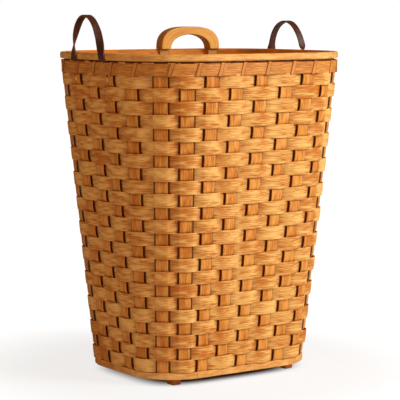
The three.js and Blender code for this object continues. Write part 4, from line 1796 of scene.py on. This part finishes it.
@dataclass(frozen=True)
class Studio:
    """The camera, the lamps, the floor and the white surroundings.

    Attributes:
        azimuth: Of the camera, in degrees from the front, seen from above.
        heading: The small turn of the camera off the hamper's axis, in degrees.
        distance: From the hamper's axis, in metres.
        height: Of the camera, in metres.
        pitch: Downwards, in degrees.
        lens: The focal length on the sensor.
        sensor: Its width, in millimetres.
        ambient: The strength of the surroundings.
        room_tint: Their colour, a little warm.
        aim: The height that the lamps face, in metres.
        key_azimuth, key_elevation: Of the lamp at the right front, in degrees.
        key_distance, key_size, key_power: Its distance and side, in metres, and its watts.
        fill_power: Of the large weak lamp at the left front, in watts.
        fill_place: How far it stands to the left and to the front, as a share of the key lamp's.
        fill_size: Its side, as a share of the key lamp's.
        floor_reach: Half the floor's side, in metres.
        floor_colour: What the floor's light on the hamper looks like.
        shadow_colour: What the lamps add to the floor that the camera sees.
        glow: The floor's own white near the hamper and further off.
        glow_range: Where it goes from one to the other, in metres.
        footprint: Half the hamper's base along X and Y, in metres, for the shade under it.
        shade_range: Where that shade starts to fade and where it ends, in footprints.
    """

    azimuth: float = -34.927
    heading: float = -0.030
    distance: float = 3.414831
    height: float = 0.7095
    pitch: float = 6.270
    lens: float = 156.330
    sensor: float = 36.0
    ambient: float = 0.26
    room_tint: Colour = (1.0, 0.61, 0.34)
    aim: float = 0.3
    key_azimuth: float = 31.0
    key_elevation: float = 30.0
    key_distance: float = 3.4
    key_size: float = 1.3
    key_power: float = 94.0
    fill_power: float = 15.0
    fill_place: float = 0.7
    fill_size: float = 1.5
    floor_reach: float = 60.0
    floor_colour: Colour = (0.8, 0.8, 0.8)
    shadow_colour: Colour = (0.19, 0.2, 0.207)
    glow: Pair = (0.8, 1.0)
    glow_range: Pair = (0.28, 0.66)
    footprint: Pair = (0.1915, 0.1435)
    shade_range: Pair = (0.72, 1.04)

    def camera(self) -> None:
        """Sets the camera up."""
        angle, turn = math.radians(self.azimuth), math.radians(self.azimuth + self.heading)
        data = bpy.data.cameras.new("camera")
        data.lens, data.sensor_width, data.sensor_fit = self.lens, self.sensor, "HORIZONTAL"
        obj = linked("camera", data)
        x, y = math.sin(angle) * self.distance, -math.cos(angle) * self.distance
        obj.location = (x, y, self.height)
        obj.rotation_euler = (math.radians(90.0 - self.pitch), 0.0, turn)
        bpy.context.scene.camera = obj

    def lamp(self, name: str, place: Place, size: float, power: float, tint: Colour) -> None:
        """A square area lamp that faces the hamper's middle.

        Args:
            name: The lamp's name.
            place: Where it stands, in metres.
            size: Its side, in metres.
            power: In watts.
            tint: Its colour.
        """
        data = bpy.data.lights.new(name, "AREA")
        data.size, data.energy, data.color = size, power, tint
        obj = linked(name, data)
        x, y, z = self.aim * UP - np.array(place)
        yaw, tilt = math.atan2(y, x), math.atan2(-z, math.hypot(x, y))
        obj.location = place
        obj.rotation_euler = (math.pi / 2 - tilt, 0.0, yaw - math.pi / 2)

    def surroundings(self) -> None:
        """White to the camera and through glass, and a plain soft light to everything else."""
        world = bpy.data.worlds.new("surroundings")
        nodes = Nodes.of(world)
        path = nodes.add("ShaderNodeLightPath").outputs
        seen = nodes.math("MAXIMUM", path["Is Camera Ray"], path["Is Transmission Ray"])
        strength = nodes.ramp(seen, (0.0, 1.0), (self.ambient, 1.0), "LINEAR")
        inputs = {"Color": nodes.mix(seen, self.room_tint, WHITE), "Strength": strength}
        background = nodes.add("ShaderNodeBackground", inputs).outputs["Background"]
        nodes.add("ShaderNodeOutputWorld", {"Surface": background})
        bpy.context.scene.world = world

    def floor_material(self) -> bpy.types.Material:
        """A matt floor that takes the shadow near the hamper and is white further off.

        Under the hamper it is dark: the shade follows (|x / a|^4 + |y / b|^4)^(1/4), with the
        footprint's halves a and b.

        Returns:
            The material.
        """
        material = bpy.data.materials.new("floor")
        nodes = Nodes.of(material)
        place = nodes.add("ShaderNodeTexCoord").outputs["Object"]
        distance = nodes.add("ShaderNodeVectorMath", {0: place}, operation="LENGTH")
        lift = nodes.ramp(distance.outputs["Value"], self.glow_range, self.glow)
        # Painted shadow: the floor's glow fades out under the base and just beyond its edge.
        split = nodes.add("ShaderNodeSeparateXYZ", {"Vector": place}).outputs
        shares = []
        for axis, half in zip("XY", self.footprint):
            share = nodes.math("ABSOLUTE", nodes.math("DIVIDE", split[axis], half), 0.0)
            shares.append(nodes.math("POWER", share, 4.0))
        shade = nodes.math("POWER", nodes.math("ADD", *shares), 0.25)
        shown = nodes.math("MULTIPLY", lift, nodes.ramp(shade, self.shade_range))
        seen = nodes.add("ShaderNodeLightPath").outputs["Is Camera Ray"]
        strength = nodes.math("MULTIPLY", shown, seen)
        glow = nodes.add("ShaderNodeEmission", {"Strength": strength}).outputs["Emission"]
        colour = nodes.mix(seen, self.floor_colour, self.shadow_colour)
        matt = nodes.add("ShaderNodeBsdfDiffuse", {"Color": colour}).outputs["BSDF"]
        both = nodes.add("ShaderNodeAddShader", {0: glow, 1: matt}).outputs["Shader"]
        nodes.add("ShaderNodeOutputMaterial", {"Surface": both})
        return material

    def floor(self) -> None:
        """Lays the wide pale floor."""
        mesh = bpy.data.meshes.new("floor")
        corners = [(-1, -1, 0), (1, -1, 0), (1, 1, 0), (-1, 1, 0)]
        mesh.from_pydata((self.floor_reach * np.array(corners)).tolist(), [], [(0, 1, 2, 3)])
        mesh.materials.append(self.floor_material())
        obj = linked("floor", mesh)

    def build(self) -> None:
        """Sets up the whole studio."""
        bpy.context.scene.view_settings.view_transform = "Standard"
        self.camera()
        self.surroundings()
        self.floor()
        azimuth, elevation = math.radians(self.key_azimuth), math.radians(self.key_elevation)
        reach = self.key_distance * math.cos(elevation)
        height = self.aim + self.key_distance * math.sin(elevation)
        place = (reach * math.sin(azimuth), -reach * math.cos(azimuth), height)
        self.lamp("key", place, self.key_size, self.key_power, WHITE)
        aside, size = -self.fill_place * reach, self.fill_size * self.key_size
        self.lamp("fill", (aside, aside, height), size, self.fill_power, self.room_tint)


@dataclass
class Hamper:
    """The whole hamper, as its sub-assemblies.

    Attributes:
        plan: The plan that they share.
    """

    plan: HamperPlan = field(default_factory=HamperPlan)

    def build(self, shop: FinishShop) -> None:
        """Makes every sub-assembly in order.

        Args:
            shop: Where the finishes are made.
        """
        plan = self.plan
        left, right = plan.corner(Wall.LEFT), plan.corner(Wall.RIGHT)
        left_seats = (
            StrapSeat(left + 2, shift=7.0, tongue_shift=0.0, end="back"),
            StrapSeat(left + 4, shift=-12.0, tongue_shift=-5.0, end="front"),
        )
        right_seats = (
            StrapSeat(right + 3, shift=0.0, tongue_shift=0.0, end="front"),
            StrapSeat(right + 5, shift=-18.0, tongue_shift=-9.5, end="back"),
        )
        sub_assemblies = (
            Weave(plan),
            Stakes(plan),
            RimAndBands(plan),
            Feet(plan),
            ArchHandle(plan),
            LeatherStrap(plan, Side.LEFT, left_seats, rise=84.0, lean=-5.0, stand_off=1.1),
            LeatherStrap(
                plan,
                Side.RIGHT,
                right_seats,
                rise=71.0,
                lean=-5.0,
                stand_off=5.2,
                twist=(0.0, 0.36),
            ),
            StrapPegs(plan, left_seats),
        )
        for sub_assembly in sub_assemblies:
            sub_assembly.build(shop)


def corners(box: Sequence[Sequence[float]]) -> list[list[float]]:
    """A box's two corners as plain lists of numbers."""
    return [[float(value) for value in corner] for corner in box]


def main() -> None:
    """Loads the frame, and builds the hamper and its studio."""
    logging.basicConfig(level=logging.INFO, format="%(name)s: %(message)s")
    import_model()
    Studio().build()
    Hamper().build(FinishShop())


if __name__ == "__main__":
    main()
